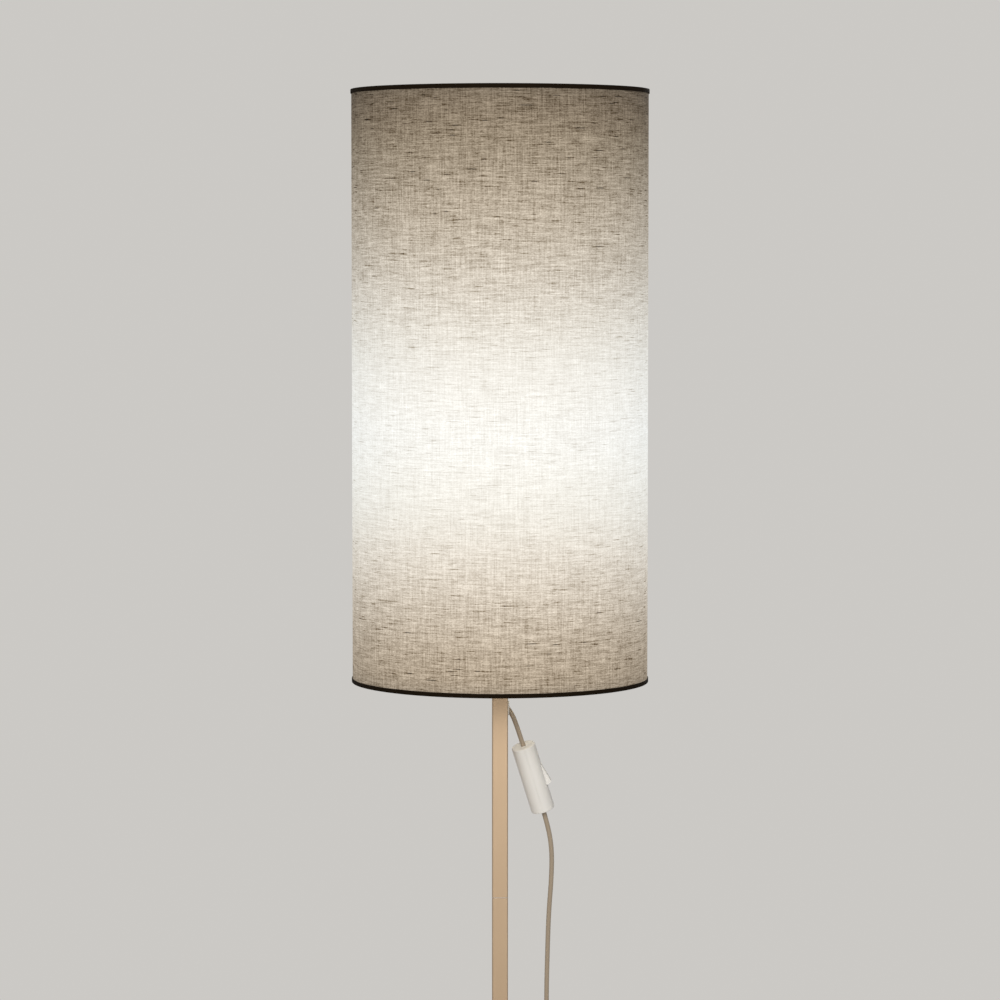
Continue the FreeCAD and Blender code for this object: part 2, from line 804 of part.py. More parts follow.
# ---------------------------------------------------------------- shade
def wire_ring(height):
    """Wire hoop inside the shade's edge."""
    corners = []
    for corner in range(rod_sides):
        angle = 2 * math.pi * (corner + 0.5) / rod_sides
        radius = frame_ring_radius + frame_wire_diameter / 2 * math.cos(angle)
        corners.append((radius, height + frame_wire_diameter / 2 * math.sin(angle)))
    return turned_polygon(corners)


def frame_arm(angle):
    """Bent wire from the hub's rim out and down to the lower hoop."""
    heading = Vector(math.cos(angle), math.sin(angle), 0)
    hub_height = holder_seat + hub_thickness / 2
    ring_height = shade_bottom + frame_ring_lift
    hub_reach = hub_diameter / 2 - frame_arm_weld
    bend_reach = hub_reach + frame_arm_run
    points = [
        heading * hub_reach + UP * hub_height,
        heading * bend_reach + UP * hub_height,
        heading * frame_ring_radius + UP * ring_height,
    ]
    return tube_along(round_route(points)[0], frame_wire_diameter)


def shade_frame():
    """Welded wire frame: hub that sits on the lampholder's shoulder, bent arms and the lower hoop."""
    hub = pipe_ring(hub_diameter / 2, holder_diameter / 2 + hub_clearance, holder_seat,
                    holder_seat + hub_thickness)
    frame = wire_ring(shade_bottom + frame_ring_lift)
    for arm in range(frame_arms):
        frame = frame.fuse(frame_arm(math.pi / 2 + 2 * math.pi * arm / frame_arms))
    above = disc(hub_diameter, holder_seat, holder_seat + hub_thickness)
    low = holder_seat - frame_wire_diameter
    inner_ends = disc(hub_diameter / 2, low, holder_seat + frame_wire_diameter)
    frame = frame.cut(inner_ends.cut(above))
    return frame.fuse(hub).removeSplitter()


def shade_top_ring():
    """Upper hoop of the shade."""
    return wire_ring(shade_top - frame_ring_lift)


def shade_liner():
    """Stiff translucent film that carries the linen, rolled into a drum."""
    return pipe_ring(
        liner_outer_radius, liner_inner_radius, shade_bottom + trim_thickness, shade_top - trim_thickness
    )


def shade_linen():
    """Linen laid round the liner."""
    return pipe_ring(
        shade_diameter / 2, linen_inner_radius, shade_bottom + trim_thickness, shade_top - trim_thickness
    )


def edge_trim(edge, upward):
    """Binding folded over an edge of the drum: tall outside, short inside."""
    outside = edge + upward * trim_height
    inside = edge + upward * trim_inner_height
    web = edge + upward * trim_thickness
    return turned_polygon(
        [
            (trim_inner_radius, edge),
            (trim_outer_radius, edge),
            (trim_outer_radius, outside),
            (trim_outer_radius - trim_thickness, outside),
            (trim_outer_radius - trim_thickness, web),
            (trim_inner_radius + trim_thickness, web),
            (trim_inner_radius + trim_thickness, inside),
            (trim_inner_radius, inside),
        ]
    )


def shade_bottom_trim():
    """Dark binding round the shade's lower edge."""
    return edge_trim(shade_bottom, 1)


def shade_top_trim():
    """Dark binding round the shade's upper edge."""
    return edge_trim(shade_top, -1)


# ---------------------------------------------------------------- cord in the pole
def exit_hole_span(reach):
    """Lowest and highest point of the slanting cord's passage at a depth inside the mouth."""
    half_height = (cord_radius + cord_clearance) / math.sin(math.radians(cord_exit_angle))
    rise = reach / cord_exit_tangent
    return cord_exit.z + rise - half_height, cord_exit.z + rise + half_height


def oblong(width, low, high, start_x, length):
    """A bar along +X whose section is a rectangle with round ends, upright."""
    radius = width / 2
    bar = block(Vector(start_x, -radius, low + radius), Vector(start_x + length, radius, high - radius))
    for height in (low + radius, high - radius):
        bar = bar.fuse(Part.makeCylinder(radius, length, Vector(start_x, 0, height), RIGHT))
    return bar.removeSplitter()


def bushing_neck(spare, outer_x):
    """The part of the bushing that fills the hole in the tube's wall, or the hole with some spare."""
    width = cord_diameter + 2 * (cord_clearance + bushing_neck_wall + spare)
    low = exit_hole_span(bushing_head)[0] - bushing_neck_wall - spare
    high = exit_hole_span(bushing_head + tube_wall)[1] + bushing_neck_wall + spare
    start = tube_side / 2 - tube_wall - bushing_lip
    return oblong(width, low, high, start, outer_x - start)


def cord_bushing():
    """Domed bushing in the tube's right wall, bored at the slant at which the cord comes down."""
    width = cord_diameter + 2 * (cord_clearance + bushing_neck_wall + bushing_head_rim)
    low = exit_hole_span(0)[0] - bushing_head_rim
    high = exit_hole_span(bushing_head + tube_wall)[1] + bushing_neck_wall + bushing_head_rim
    head = oblong(width, low, high, tube_side / 2, bushing_head)
    outer_edges = [edge for edge in head.Edges if edge.BoundBox.XMin > tube_side / 2 + bushing_head - 1e-6]
    head = head.makeChamfer(bushing_head_chamfer, outer_edges)
    bushing = head.fuse(bushing_neck(0, tube_side / 2)).removeSplitter()
    bore_start = cord_exit - cord_exit_direction * 30
    bore = Part.makeCylinder(cord_radius + cord_clearance, 60, bore_start, cord_exit_direction)
    return bushing.cut(bore)


def cord_inside():
    """Cord from the lampholder down the pole and out through the bushing."""
    bend = cord_exit - cord_exit_direction * (cord_exit.x / cord_exit_direction.x)
    top = Vector(0, 0, cap_bottom + sheath_end_height)
    return routed_rod("cord_inside", [top, bend, cord_exit], cord_diameter)


def core_wires():
    """The two insulated cores between the sheath's end and the lampholder's terminals."""
    cores = []
    sheath_end = cap_bottom + sheath_end_height
    foot_top = insert_bottom - terminal_drop + strip_thickness
    for offset in terminal_offsets():
        side = 1 if offset > 0 else -1
        start = Vector(side * (core_diameter / 2 + core_clearance), 0, sheath_end)
        beside_screw = Vector(
            side * (abs(offset) - terminal_screw_inset),
            side * (strip_width / 2 + core_diameter / 2 + core_clearance),
            foot_top,
        )
        level = sheath_end + core_bend_rise
        points = [
            start,
            Vector(start.x, start.y, level),
            Vector(beside_screw.x, beside_screw.y, level),
            beside_screw,
        ]
        cores.append(tube_along(round_route(points)[0], core_diameter))
    return Part.makeCompound(cores)


# ---------------------------------------------------------------- switch, built upright about its own axis
def switch_placement():
    """From the switch's own frame (z along it, x to the rocker's side) to its place on the cord."""
    lean = FreeCAD.Rotation(Vector(0, 1, 0), -switch_side_lean)
    tip = FreeCAD.Rotation(Vector(1, 0, 0), switch_front_lean)
    turn = lean.multiply(tip)
    top = cord_exit + Vector(switch_right_of_exit, switch_behind_exit, -switch_below_exit)
    return FreeCAD.Placement(top - turn.multVec(UP * switch_length), turn)


def placed(shape):
    """A switch piece moved from the switch's own frame to its place."""
    moved = shape.copy()
    moved.Placement = switch_placement().multiply(shape.Placement)
    return moved


def switch_outside():
    """Plain outside of the switch: a round bar with softened rims."""
    radius = switch_diameter / 2
    soft = switch_edge_radius
    return turned_polygon(
        [
            (0, 0),
            (radius - soft, 0),
            (radius - soft * 0.3, soft * 0.3),
            (radius, soft),
            (radius, switch_length - soft),
            (radius - soft * 0.3, switch_length - soft * 0.3),
            (radius - soft, switch_length),
            (0, switch_length),
        ]
    )


def switch_hollow():
    """Space inside the switch, with the cord's mouths at both ends and the seam's groove outside."""
    inner = switch_diameter / 2 - switch_wall
    space = disc(inner, switch_end_wall, switch_length - switch_end_wall)
    mouth = disc(cord_radius + switch_mouth_clearance, -1, switch_length + 1)
    outer = switch_diameter / 2
    slab = block(
        Vector(-switch_seam_width / 2, -outer - 1, -1),
        Vector(switch_seam_width / 2, outer + 1, switch_length + 1),
    )
    core = disc(outer - switch_seam_depth, -2, switch_length + 2)
    return space.fuse(mouth).fuse(slab.cut(core))


def half_space(side):
    """The half of the switch on one side of its seam: +1 is the rocker's side."""
    reach = switch_diameter
    low_x = 0 if side > 0 else -reach
    return block(Vector(low_x, -reach, -1), Vector(low_x + reach, reach, switch_length + 1))


def cord_ribs(side):
    """Ribs near both ends that grip the cord's sheath between the two half shells."""
    inner = switch_diameter / 2 - switch_wall + switch_wall_bond
    ribs = []
    for height in (rib_inset, switch_length - rib_inset):
        rib = disc(inner, height - rib_thickness / 2, height + rib_thickness / 2)
        rib = rib.cut(disc(cord_radius + rib_grip, height - rib_thickness, height + rib_thickness))
        ribs.append(rib.common(half_space(side)))
    return ribs


def shell_screw_places():
    """Heights along the switch of the two screws that close its shells."""
    return [shell_screw_inset, switch_length - shell_screw_inset]


def shell_screw_post(side, height):
    """Boss for a shell screw inside one half shell, from its wall to the seam."""
    radius = shell_screw_diameter / 2 + boss_wall
    inner = switch_diameter / 2 - switch_wall + switch_wall_bond
    post = Part.makeCylinder(radius, switch_diameter, Vector(0, shell_screw_back, height), RIGHT * side)
    return post.common(disc(inner, 0, switch_length))


def shell_screw_seat():
    """Depth of the screw heads' seat, measured from the seam towards the left shell."""
    reach = math.sqrt((switch_diameter / 2) ** 2 - (shell_screw_back + shell_screw_head_diameter / 2) ** 2)
    return reach - shell_screw_head_height - hole_clearance


def switch_left_shell():
    """Half shell away from the rocker: ribs, screw bosses with head recesses, contact pedestals."""
    shell = switch_outside().cut(switch_hollow()).common(half_space(-1))
    for rib in cord_ribs(-1):
        shell = shell.fuse(rib)
    for height in shell_screw_places():
        shell = shell.fuse(shell_screw_post(-1, height))
    for low, high in contact_pedestals():
        inner = switch_diameter / 2 - switch_wall + switch_wall_bond
        pedestal = block(
            Vector(-switch_diameter, -contact_spacing / 2 - contact_width / 2, low),
            Vector(-contact_floor, contact_spacing / 2 + contact_width / 2, high),
        )
        shell = shell.fuse(pedestal.common(disc(inner, 0, switch_length)))
    for height in shell_screw_places():
        centre = Vector(0, shell_screw_back, height)
        hole = Part.makeCylinder(
            shell_screw_diameter / 2 + hole_clearance, switch_diameter, centre, RIGHT * -1
        )
        seat = Vector(-shell_screw_seat(), shell_screw_back, height)
        recess = Part.makeCylinder(
            shell_screw_head_diameter / 2 + hole_clearance, switch_diameter, seat, RIGHT * -1
        )
        shell = shell.cut(hole).cut(recess)
    return shell.removeSplitter()


def rocker_pivot():
    """Centre of the rocker's pin in the switch's own frame."""
    return Vector(rocker_pivot_reach, 0, switch_length / 2)


def rocker_swing_radius():
    """Farthest reach of the rocker's ends from its pin."""
    return math.hypot(rocker_half_length, rocker_rise)


def rocker_window():
    """Opening in the right shell in which the rocker tilts."""
    half_width = rocker_width / 2 + rocker_side_gap
    half_length = rocker_swing_radius() - rocker_edge_radius + rocker_end_gap
    middle = switch_length / 2
    return block(
        Vector(rocker_pivot_reach - rocker_depth, -half_width, middle - half_length),
        Vector(switch_diameter, half_width, middle + half_length),
    )


def rocker_lugs():
    """Two lugs inside the right shell that hold the rocker's pin."""
    inner = switch_diameter / 2 - switch_wall + switch_wall_bond
    near = rocker_width / 2 + rocker_side_gap
    pivot = rocker_pivot()
    lugs = []
    for side in (-1, 1):
        low_y = min(side * near, side * (near + lug_thickness))
        lug = block(
            Vector(pivot.x - lug_half_length, low_y, pivot.z - lug_half_length),
            Vector(switch_diameter, low_y + lug_thickness, pivot.z + lug_half_length),
        )
        lugs.append(lug.common(disc(inner, 0, switch_length)))
    return lugs


def switch_right_shell():
    """Half shell with the rocker's window, the pin's lugs, ribs and blind screw bosses."""
    shell = switch_outside().cut(switch_hollow()).common(half_space(1))
    for rib in cord_ribs(1):
        shell = shell.fuse(rib)
    for height in shell_screw_places():
        shell = shell.fuse(shell_screw_post(1, height))
    shell = shell.cut(rocker_window())
    for lug in rocker_lugs():
        shell = shell.fuse(lug)
    pivot = rocker_pivot()
    pin_reach = rocker_pin_length() / 2 + thread_clearance
    pin_hole = Part.makeCylinder(
        rocker_pin_diameter / 2 + thread_clearance, 2 * pin_reach, pivot - BACK * pin_reach, BACK
    )
    shell = shell.cut(pin_hole)
    thread_depth = shell_screw_length - shell_screw_seat() + 0.5
    for height in shell_screw_places():
        seam = Vector(0, shell_screw_back, height)
        hole = Part.makeCylinder(shell_screw_diameter / 2 + thread_clearance, thread_depth, seam, RIGHT)
        shell = shell.cut(hole)
    return shell.removeSplitter()


def switch_shell_screws():
    """Two screws that close the half shells, driven from the left shell's back."""
    screws = []
    for height in shell_screw_places():
        seat = Vector(-shell_screw_seat(), shell_screw_back, height)
        head = Part.makeCylinder(
            shell_screw_head_diameter / 2, shell_screw_head_height, seat, RIGHT * -1
        )
        shank = Part.makeCylinder(shell_screw_diameter / 2, shell_screw_length, seat, RIGHT)
        face = -shell_screw_seat() - shell_screw_head_height
        half_slot = shell_slot_width / 2
        reach = shell_screw_head_diameter
        slot = block(
            Vector(face - 1, shell_screw_back - reach, height - half_slot),
            Vector(face + shell_slot_depth, shell_screw_back + reach, height + half_slot),
        )
        screws.append(head.fuse(shank).removeSplitter().cut(slot))
    return placed(Part.makeCompound(screws))


def rocker_pin_length():
    """The pin spans both lugs and the rocker between them."""
    return rocker_width + 2 * rocker_side_gap + 2 * lug_thickness - 2 * hole_clearance


def rocker_pin():
    """Steel pin on which the rocker tilts."""
    length = rocker_pin_length()
    start = rocker_pivot() - BACK * (length / 2)
    return placed(Part.makeCylinder(rocker_pin_diameter / 2, length, start, BACK))


def tilted(shape):
    """A rocker piece turned about its pin from level to the ON position, lower end out."""
    turned_shape = shape.copy()
    turned_shape.rotate(rocker_pivot(), BACK, -rocker_tilt)
    return turned_shape


def level_rocker():
    """The rocker's paddle before it is tilted: flat face, flared ends, hollow bored for its pin."""
    pivot = rocker_pivot()
    top = pivot.x + rocker_rise
    low = pivot.x - rocker_depth
    half_top = rocker_half_length
    half_low = rocker_half_length + rocker_flare
    half_width = rocker_width / 2
    shoulder = pivot.x + rocker_rise / 4
    corners = [
        Vector(top, -half_width, pivot.z - half_top),
        Vector(top, -half_width, pivot.z + half_top),
        Vector(shoulder, -half_width, pivot.z + half_low),
        Vector(shoulder - rocker_shoulder_drop, -half_width, pivot.z + half_low - rocker_shoulder_drop),
        Vector(low, -half_width, pivot.z + half_top / 3),
        Vector(low, -half_width, pivot.z - half_top / 3),
        Vector(shoulder - rocker_shoulder_drop, -half_width, pivot.z - half_low + rocker_shoulder_drop),
        Vector(shoulder, -half_width, pivot.z - half_low),
    ]
    paddle = Part.Face(Part.makePolygon(corners + corners[:1])).extrude(BACK * rocker_width)
    outer_edges = [edge for edge in paddle.Edges if edge.BoundBox.XMin > top - 1e-6]
    return paddle.makeFillet(rocker_edge_radius, outer_edges)


def switch_rocker():
    """White rocker, shown ON: its upper end dips into the window and its lower end stands out."""
    pivot = rocker_pivot()
    bore_start = pivot - BACK * (rocker_width / 2 + 1)
    bore = Part.makeCylinder(
        rocker_pin_diameter / 2 + rocker_pin_clearance, rocker_width + 2, bore_start, BACK
    )
    return placed(tilted(level_rocker().cut(bore).cut(bridge_seat())))


def bridge_box(spare):
    """The contact bridge's bar under the rocker's upper end, before the rocker is tilted."""
    pivot = rocker_pivot()
    face = pivot.x - rocker_depth / 3
    middle = pivot.z + bridge_offset
    return block(
        Vector(face - bridge_thickness, -bridge_width / 2 - spare, middle - bridge_length / 2 - spare),
        Vector(face + spare, bridge_width / 2 + spare, middle + bridge_length / 2 + spare),
    )


def bridge_seat():
    """Pocket in the rocker's underside for the contact bridge."""
    pivot = rocker_pivot()
    box = bridge_box(0.0)
    reach = box.BoundBox
    return block(
        Vector(pivot.x - 2 * rocker_depth, -rocker_width, reach.ZMin),
        Vector(reach.XMax, rocker_width, reach.ZMax + rocker_half_length),
    )


def contact_bridge():
    """Brass bar under the rocker that joins the two fixed contacts when the switch is ON."""
    return placed(tilted(bridge_box(0.0)))


def contact_head_reach():
    """Outward reach of the fixed contacts' heads, just clear of the bridge in the ON position."""
    return tilted(bridge_box(0.0)).BoundBox.XMin - contact_gap


def contact_pedestals():
    """Spans along the switch of the left shell's pedestals under the contact strips."""
    head = contact_head_height()
    upper = switch_length / 2 + terminal_block_reach
    lower = switch_length / 2 - terminal_block_reach
    reach = pedestal_length / 2
    return [(lower - reach, lower + reach), (head - reach, head + reach), (upper - reach / 2, upper + reach)]


def contact_head_height():
    """Place along the switch of the fixed contacts' heads, under the tilted bridge."""
    box = tilted(bridge_box(0.0)).BoundBox
    return (box.ZMin + box.ZMax) / 2


def fixed_contacts():
    """Two brass strips: one to the upper terminal and one to the lower, each with a head and a block."""
    strips = []
    head = contact_head_height()
    middle = switch_length / 2
    base = -contact_floor
    for side in (-1, 1):
        centre_y = side * contact_spacing / 2
        low_y = centre_y - contact_width / 2
        high_y = centre_y + contact_width / 2
        end = middle + side * terminal_block_reach
        strip = block(
            Vector(base, low_y, min(head, end) - contact_strip_margin),
            Vector(base + strip_thickness, high_y, max(head, end) + contact_strip_margin),
        )
        post = block(
            Vector(base, low_y, head - contact_head_length / 2),
            Vector(contact_head_reach(), high_y, head + contact_head_length / 2),
        )
        low = end - terminal_block_length / 2
        margin = terminal_block_margin
        terminal = block(
            Vector(base, low_y - margin, low),
            Vector(base + terminal_block_height, high_y + margin, low + terminal_block_length),
        )
        bore_start = Vector(base + terminal_bore_rise, centre_y, low - 1)
        bore = Part.makeCylinder(terminal_bore_diameter / 2, terminal_block_length + 2, bore_start, UP)
        thread = Part.makeCylinder(
            contact_screw_diameter / 2 + thread_clearance, terminal_block_height,
            Vector(base + terminal_bore_rise, centre_y, end), RIGHT
        )
        strips.append(strip.fuse(post).fuse(terminal).removeSplitter().cut(bore).cut(thread))
    return placed(Part.makeCompound(strips))


def contact_screws():
    """Two small slotted screws in the switch's terminal blocks."""
    screws = []
    top = -contact_floor + terminal_block_height
    tip = -contact_floor + contact_screw_reach
    half_slot = contact_slot_width / 2
    head_radius = contact_screw_head_diameter / 2
    for side in (-1, 1):
        end = switch_length / 2 + side * terminal_block_reach
        y = side * contact_spacing / 2
        shank = Part.makeCylinder(contact_screw_diameter / 2, top - tip, Vector(tip, y, end), RIGHT)
        head = Part.makeCylinder(head_radius, contact_screw_head_height, Vector(top, y, end), RIGHT)
        face = top + contact_screw_head_height
        slot = block(
            Vector(face - contact_slot_depth, y - head_radius - 1, end - half_slot),
            Vector(face + 1, y + head_radius + 1, end + half_slot),
        )
        screws.append(shank.fuse(head).removeSplitter().cut(slot))
    return placed(Part.makeCompound(screws))


def switch_top():
    """Middle of the switch's upper end face."""
    return switch_placement().multVec(UP * switch_length)


def switch_foot():
    """Middle of the switch's lower end face."""
    return switch_placement().multVec(Vector(0, 0, 0))


def switch_axis():
    """Direction along the switch, from its lower end to its upper end."""
    return unit(switch_top() - switch_foot())


# ---------------------------------------------------------------- free cord
def cord_upper():
    """Cord from the bushing's mouth into the top of the switch, as far as the ribs' inner side."""
    sheath_end = rib_inset + rib_thickness
    points = [
        cord_exit,
        cord_exit + cord_exit_direction * 6.5,
        cord_exit + Vector(8.0, 1.6, -16.4),
        switch_top() + switch_axis() * 6.0,
        switch_top() - switch_axis() * sheath_end,
    ]
    return routed_rod("cord_upper", points, cord_diameter)


def coil_radius(turn_from_middle):
    """Radius of the coil at an angle before or after its innermost point, in radians."""
    spiral = coil_pitch / (2 * math.pi)
    inner = coil_mean_diameter / 2 - coil_pitch * coil_radial_turns / 4
    away = abs(turn_from_middle)
    if away < math.pi / 2:
        away = away**2 / math.pi + math.pi / 4
    return inner + spiral * away


def coil_height(turn_from_middle):
    """Height of the coil: low layer, a climb in the half turn round the middle, high layer."""
    climb = min(max(turn_from_middle / math.pi + 0.5, 0), 1)
    return coil_low + coil_pitch * (1 - math.cos(math.pi * climb)) / 2


def coil_point(turn_from_middle):
    """A point of the coil's centre line. It winds clockwise as seen from above."""
    whole = 2 * math.pi * coil_turns
    angle = math.radians(coil_start_angle) - (turn_from_middle + whole / 2)
    radius = coil_radius(turn_from_middle)
    return Vector(
        coil_centre_x + radius * math.cos(angle),
        coil_centre_y + radius * math.sin(angle),
        coil_height(turn_from_middle),
    )


def coil_heading(turn_from_middle):
    """Direction of the coil's centre line at a point."""
    step = 1e-4
    return unit(coil_point(turn_from_middle + step) - coil_point(turn_from_middle - step))


def two_arcs(start, start_heading, end, end_heading):
    """Two arcs that meet smoothly between two points with given headings."""
    chord = end - start
    both = start_heading + end_heading
    turn = 2 * (1 - start_heading.dot(end_heading))
    along = chord.dot(both)
    reach = (math.sqrt(along**2 + turn * chord.dot(chord)) - along) / turn
    first_corner = start + start_heading * reach
    second_corner = end - end_heading * reach
    meeting = (first_corner + second_corner) * 0.5
    return [arc_by_corner(start, first_corner, meeting), arc_by_corner(meeting, second_corner, end)]


def arc_by_corner(start, corner, end):
    """The arc from start to end whose end tangents meet at the corner."""
    half_chord = (end - start).Length / 2
    cosine = half_chord / (corner - start).Length
    chord_middle = (start + end) * 0.5
    middle = chord_middle + (corner - chord_middle) * (cosine / (1 + cosine))
    return Part.Arc(start, middle, end).toShape()


def coil_knots():
    """Angles of the joints between the coil's arcs: quarter turns counted from its middle."""
    quarter = math.pi / 2
    whole = 2 * math.pi * coil_turns
    steps = int(whole / 2 / quarter)
    knots = [quarter * step for step in range(-steps, steps + 1)]
    if whole / 2 - knots[-1] > 1e-6:
        knots = [-whole / 2] + knots + [whole / 2]
    return knots


def coil_mouth():
    """Point and heading at which the coil's straight first end begins."""
    start = coil_knots()[0]
    heading = coil_heading(start)
    return coil_point(start) - heading * cord_diameter, heading


def coil_leave():
    """Point and heading at which the coil's straight last end stops."""
    end = coil_knots()[-1]
    heading = coil_heading(end)
    return coil_point(end) + heading * cord_diameter, heading


def coil_wire():
    """Centre line of the coil as one smooth wire, with straight ends a cord's diameter long."""
    knots = coil_knots()
    mouth = coil_mouth()[0]
    leave = coil_leave()[0]
    edges = [Part.LineSegment(mouth, coil_point(knots[0])).toShape()]
    for start, end in zip(knots, knots[1:]):
        edges += two_arcs(coil_point(start), coil_heading(start), coil_point(end), coil_heading(end))
    edges.append(Part.LineSegment(coil_point(knots[-1]), leave).toShape())
    return Part.Wire(edges)


def least_gap_to_itself(wire):
    """Smallest free distance between different turns of the coil, measured on points."""
    points = wire.discretize(Distance=2.0)
    apart = int(math.pi * coil_mean_diameter / 2 / 2.0 / 2)
    least = min(
        (points[i] - points[j]).Length
        for i in range(len(points))
        for j in range(i + apart, len(points))
    )
    return least - cord_diameter


def cord_coil():
    """The put-away length: a neat round coil of two layers, wound as one unbroken cord."""
    wire = coil_wire()
    rod = tube_along(wire, cord_diameter)
    expected = section_area(cord_diameter) * wire.Length
    print("cord_coil length %.1f" % wire.Length, "volume ratio %.4f" % (rod.Volume / expected),
          "least gap to itself %.2f" % least_gap_to_itself(wire))
    return rod


def cord_lower():
    """Cord from the switch's lower end: it falls behind the base and runs into the coil on the floor."""
    foot = switch_foot()
    down = switch_axis() * -1
    mouth, heading = coil_mouth()
    points = [
        foot - down * (rib_inset + rib_thickness),
        foot + down * 18.0,
        foot + Vector(10.9, 12.5, -48.7),
        foot + Vector(10.7, 22.0, -85.7),
        foot + Vector(7.4, 34.0, -131.7),
        foot + Vector(6.1, 48.5, -182.7),
        foot + Vector(5.1, 64.0, -236.7),
        Vector(57.2, 108.0, 260.0),
        Vector(55.0, 125.0, 205.0),
        Vector(55.2, 141.0, 152.0),
        Vector(57.5, 156.0, 106.0),
        Vector(61.0, 168.0, 69.0),
        Vector(67.5, 175.5, 38.0),
        Vector(80.5, 180.5, 14.5),
        mouth - heading * 22.0,
        mouth,
    ]
    return routed_rod("cord_lower", points, cord_diameter)


def cord_tail():
    """Last stretch of the cord, from the coil down to the floor and into the plug."""
    leave, heading = coil_leave()
    entry = Vector(plug_centre_x, plug_mouth_y, plug_middle_height)
    points = [
        leave,
        leave + heading * 24.0,
        entry + Vector(6.5, 28.5, -1.7),
        entry + BACK * 7.0,
        entry - BACK * plug_cord_depth,
    ]
    return routed_rod("cord_tail", points, cord_diameter)


def cord_tie():
    """Strap round the coil's turns, closed on itself."""
    inner_radius = coil_radius(0) - cord_radius
    outer_radius = coil_radius(coil_knots()[-1]) + cord_radius
    width = outer_radius - inner_radius + 2 * tie_clearance
    height = coil_pitch + cord_diameter + 2 * tie_clearance
    corner = cord_radius
    inside = rounded_bar(width, height, corner, -tie_width, tie_width)
    outside = rounded_bar(
        width + 2 * tie_thickness, height + 2 * tie_thickness, corner + tie_thickness, -tie_width / 2,
        tie_width / 2
    )
    band = outside.cut(inside)
    angle = math.radians(tie_angle)
    radial = Vector(math.cos(angle), math.sin(angle), 0)
    turn = FreeCAD.Rotation(radial, UP, radial.cross(UP))
    middle_radius = (inner_radius + outer_radius) / 2
    centre = Vector(coil_centre_x, coil_centre_y, coil_low + coil_pitch / 2) + radial * middle_radius
    band.Placement = FreeCAD.Placement(centre, turn)
    return band


# ---------------------------------------------------------------- plug, built along its own axis
def plug_placement():
    """From the plug's own frame (z from its mouth to its face) to its place beside the coil."""
    turn = FreeCAD.Rotation(Vector(1, 0, 0), UP, BACK * -1)
    return FreeCAD.Placement(Vector(plug_centre_x, plug_mouth_y, plug_middle_height), turn)


def plug_length():
    """Length of the plug's body from the cord's mouth to the face with the pins."""
    return plug_relief_length + plug_taper_length + plug_face_length


def plug_taper(wide, narrow, across):
    """A bar across the plug, drawn in from its shoulder to its neck, for one of its two views."""
    face = plug_length()
    shoulder = face - plug_face_length
    waist = narrow + (wide - narrow) * plug_waist_gain
    waist_height = plug_relief_length + plug_taper_length * plug_waist_place
    corners = [
        (-narrow / 2, plug_relief_length),
        (narrow / 2, plug_relief_length),
        (waist / 2, waist_height),
        (wide / 2, shoulder),
        (wide / 2, face),
        (-wide / 2, face),
        (-wide / 2, shoulder),
        (-waist / 2, waist_height),
    ]
    start = across * -plug_width
    sideways = BACK if across == RIGHT else RIGHT
    outline = [start + sideways * reach + UP * height for reach, height in corners + corners[:1]]
    return Part.Face(Part.makePolygon(outline)).extrude(across * (2 * plug_width))


def plug_body():
    """Flat two-pin plug: a block at the face, drawn in towards the cord, with a tapered relief."""
    face = plug_length()
    neck = plug_neck_diameter
    grip = rounded_bar(plug_width, plug_thickness, plug_corner_radius, plug_relief_length, face)
    grip = grip.makeChamfer(plug_rim_chamfer, edges_at_height(grip, face))
    grip = grip.common(plug_taper(plug_width, neck, BACK)).common(plug_taper(plug_thickness, neck, RIGHT))
    relief = Part.makeCone(plug_relief_end_diameter / 2, plug_relief_root_diameter / 2, plug_relief_length)
    bore = disc(cord_radius + cord_clearance, -1, plug_cord_depth)
    body = grip.fuse(relief).removeSplitter().cut(bore)
    for side in (-1, 1):
        seat = disc(pin_diameter / 2 + thread_clearance, face - pin_seat_depth, face + 1,
                    side * pin_spacing / 2, 0)
        body = body.cut(seat)
    body.Placement = plug_placement()
    return body


def plug_pins():
    """Two round pins with rounded tips, seated in the plug's face."""
    face = plug_length()
    pins = []
    for side in (-1, 1):
        pin = disc(pin_diameter / 2, face - pin_seat_depth, face + pin_length, side * pin_spacing / 2, 0)
        pins.append(pin.makeChamfer(pin_diameter / 4, edges_at_height(pin, face + pin_length)))
    both = Part.makeCompound(pins)
    both.Placement = plug_placement()
    return both


# ---------------------------------------------------------------- all sub-parts, written one by one
def switch_left_half():
    """Left half shell in its place on the cord."""
    return placed(switch_left_shell())


def switch_right_half():
    """Right half shell in its place on the cord."""
    return placed(switch_right_shell())


sub_parts = [
    base_pad,
    base_plate,
    base_washer,
    base_bolt,
    pole_foot_insert,
    lower_tube,
    pole_coupler,
    coupler_screws,
    upper_tube,
    cord_bushing,
    pole_top_plug,
    threaded_nipple,
    nipple_lock_nut,
    lampholder_cap,
    lampholder_skirt,
    lampholder_insert,
    lampholder_thread_shell,
    centre_contact,
    side_contact,
    terminal_screws,
    shade_ring_nut,
    shade_frame,
    shade_top_ring,
    shade_liner,
    shade_linen,
    shade_bottom_trim,
    shade_top_trim,
    bulb_globe,
    bulb_body,
    bulb_cap,
    bulb_insulator,
    bulb_contact,
    cord_inside,
    core_wires,
    cord_upper,
    switch_left_half,
    switch_right_half,
    switch_shell_screws,
    switch_rocker,
    rocker_pin,
    contact_bridge,
    fixed_contacts,
    contact_screws,
    cord_lower,
    cord_coil,
    cord_tail,
    cord_tie,
    plug_body,
    plug_pins,
]

os.makedirs("parts", exist_ok=True)
for make in sub_parts:
    solid = make()
    solid.exportStep("parts/" + make.__name__ + ".step")
    print(make.__name__, "solids", len(solid.Solids), "valid", solid.isValid(), "volume %.1f" % solid.Volume)
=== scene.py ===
import json
import math

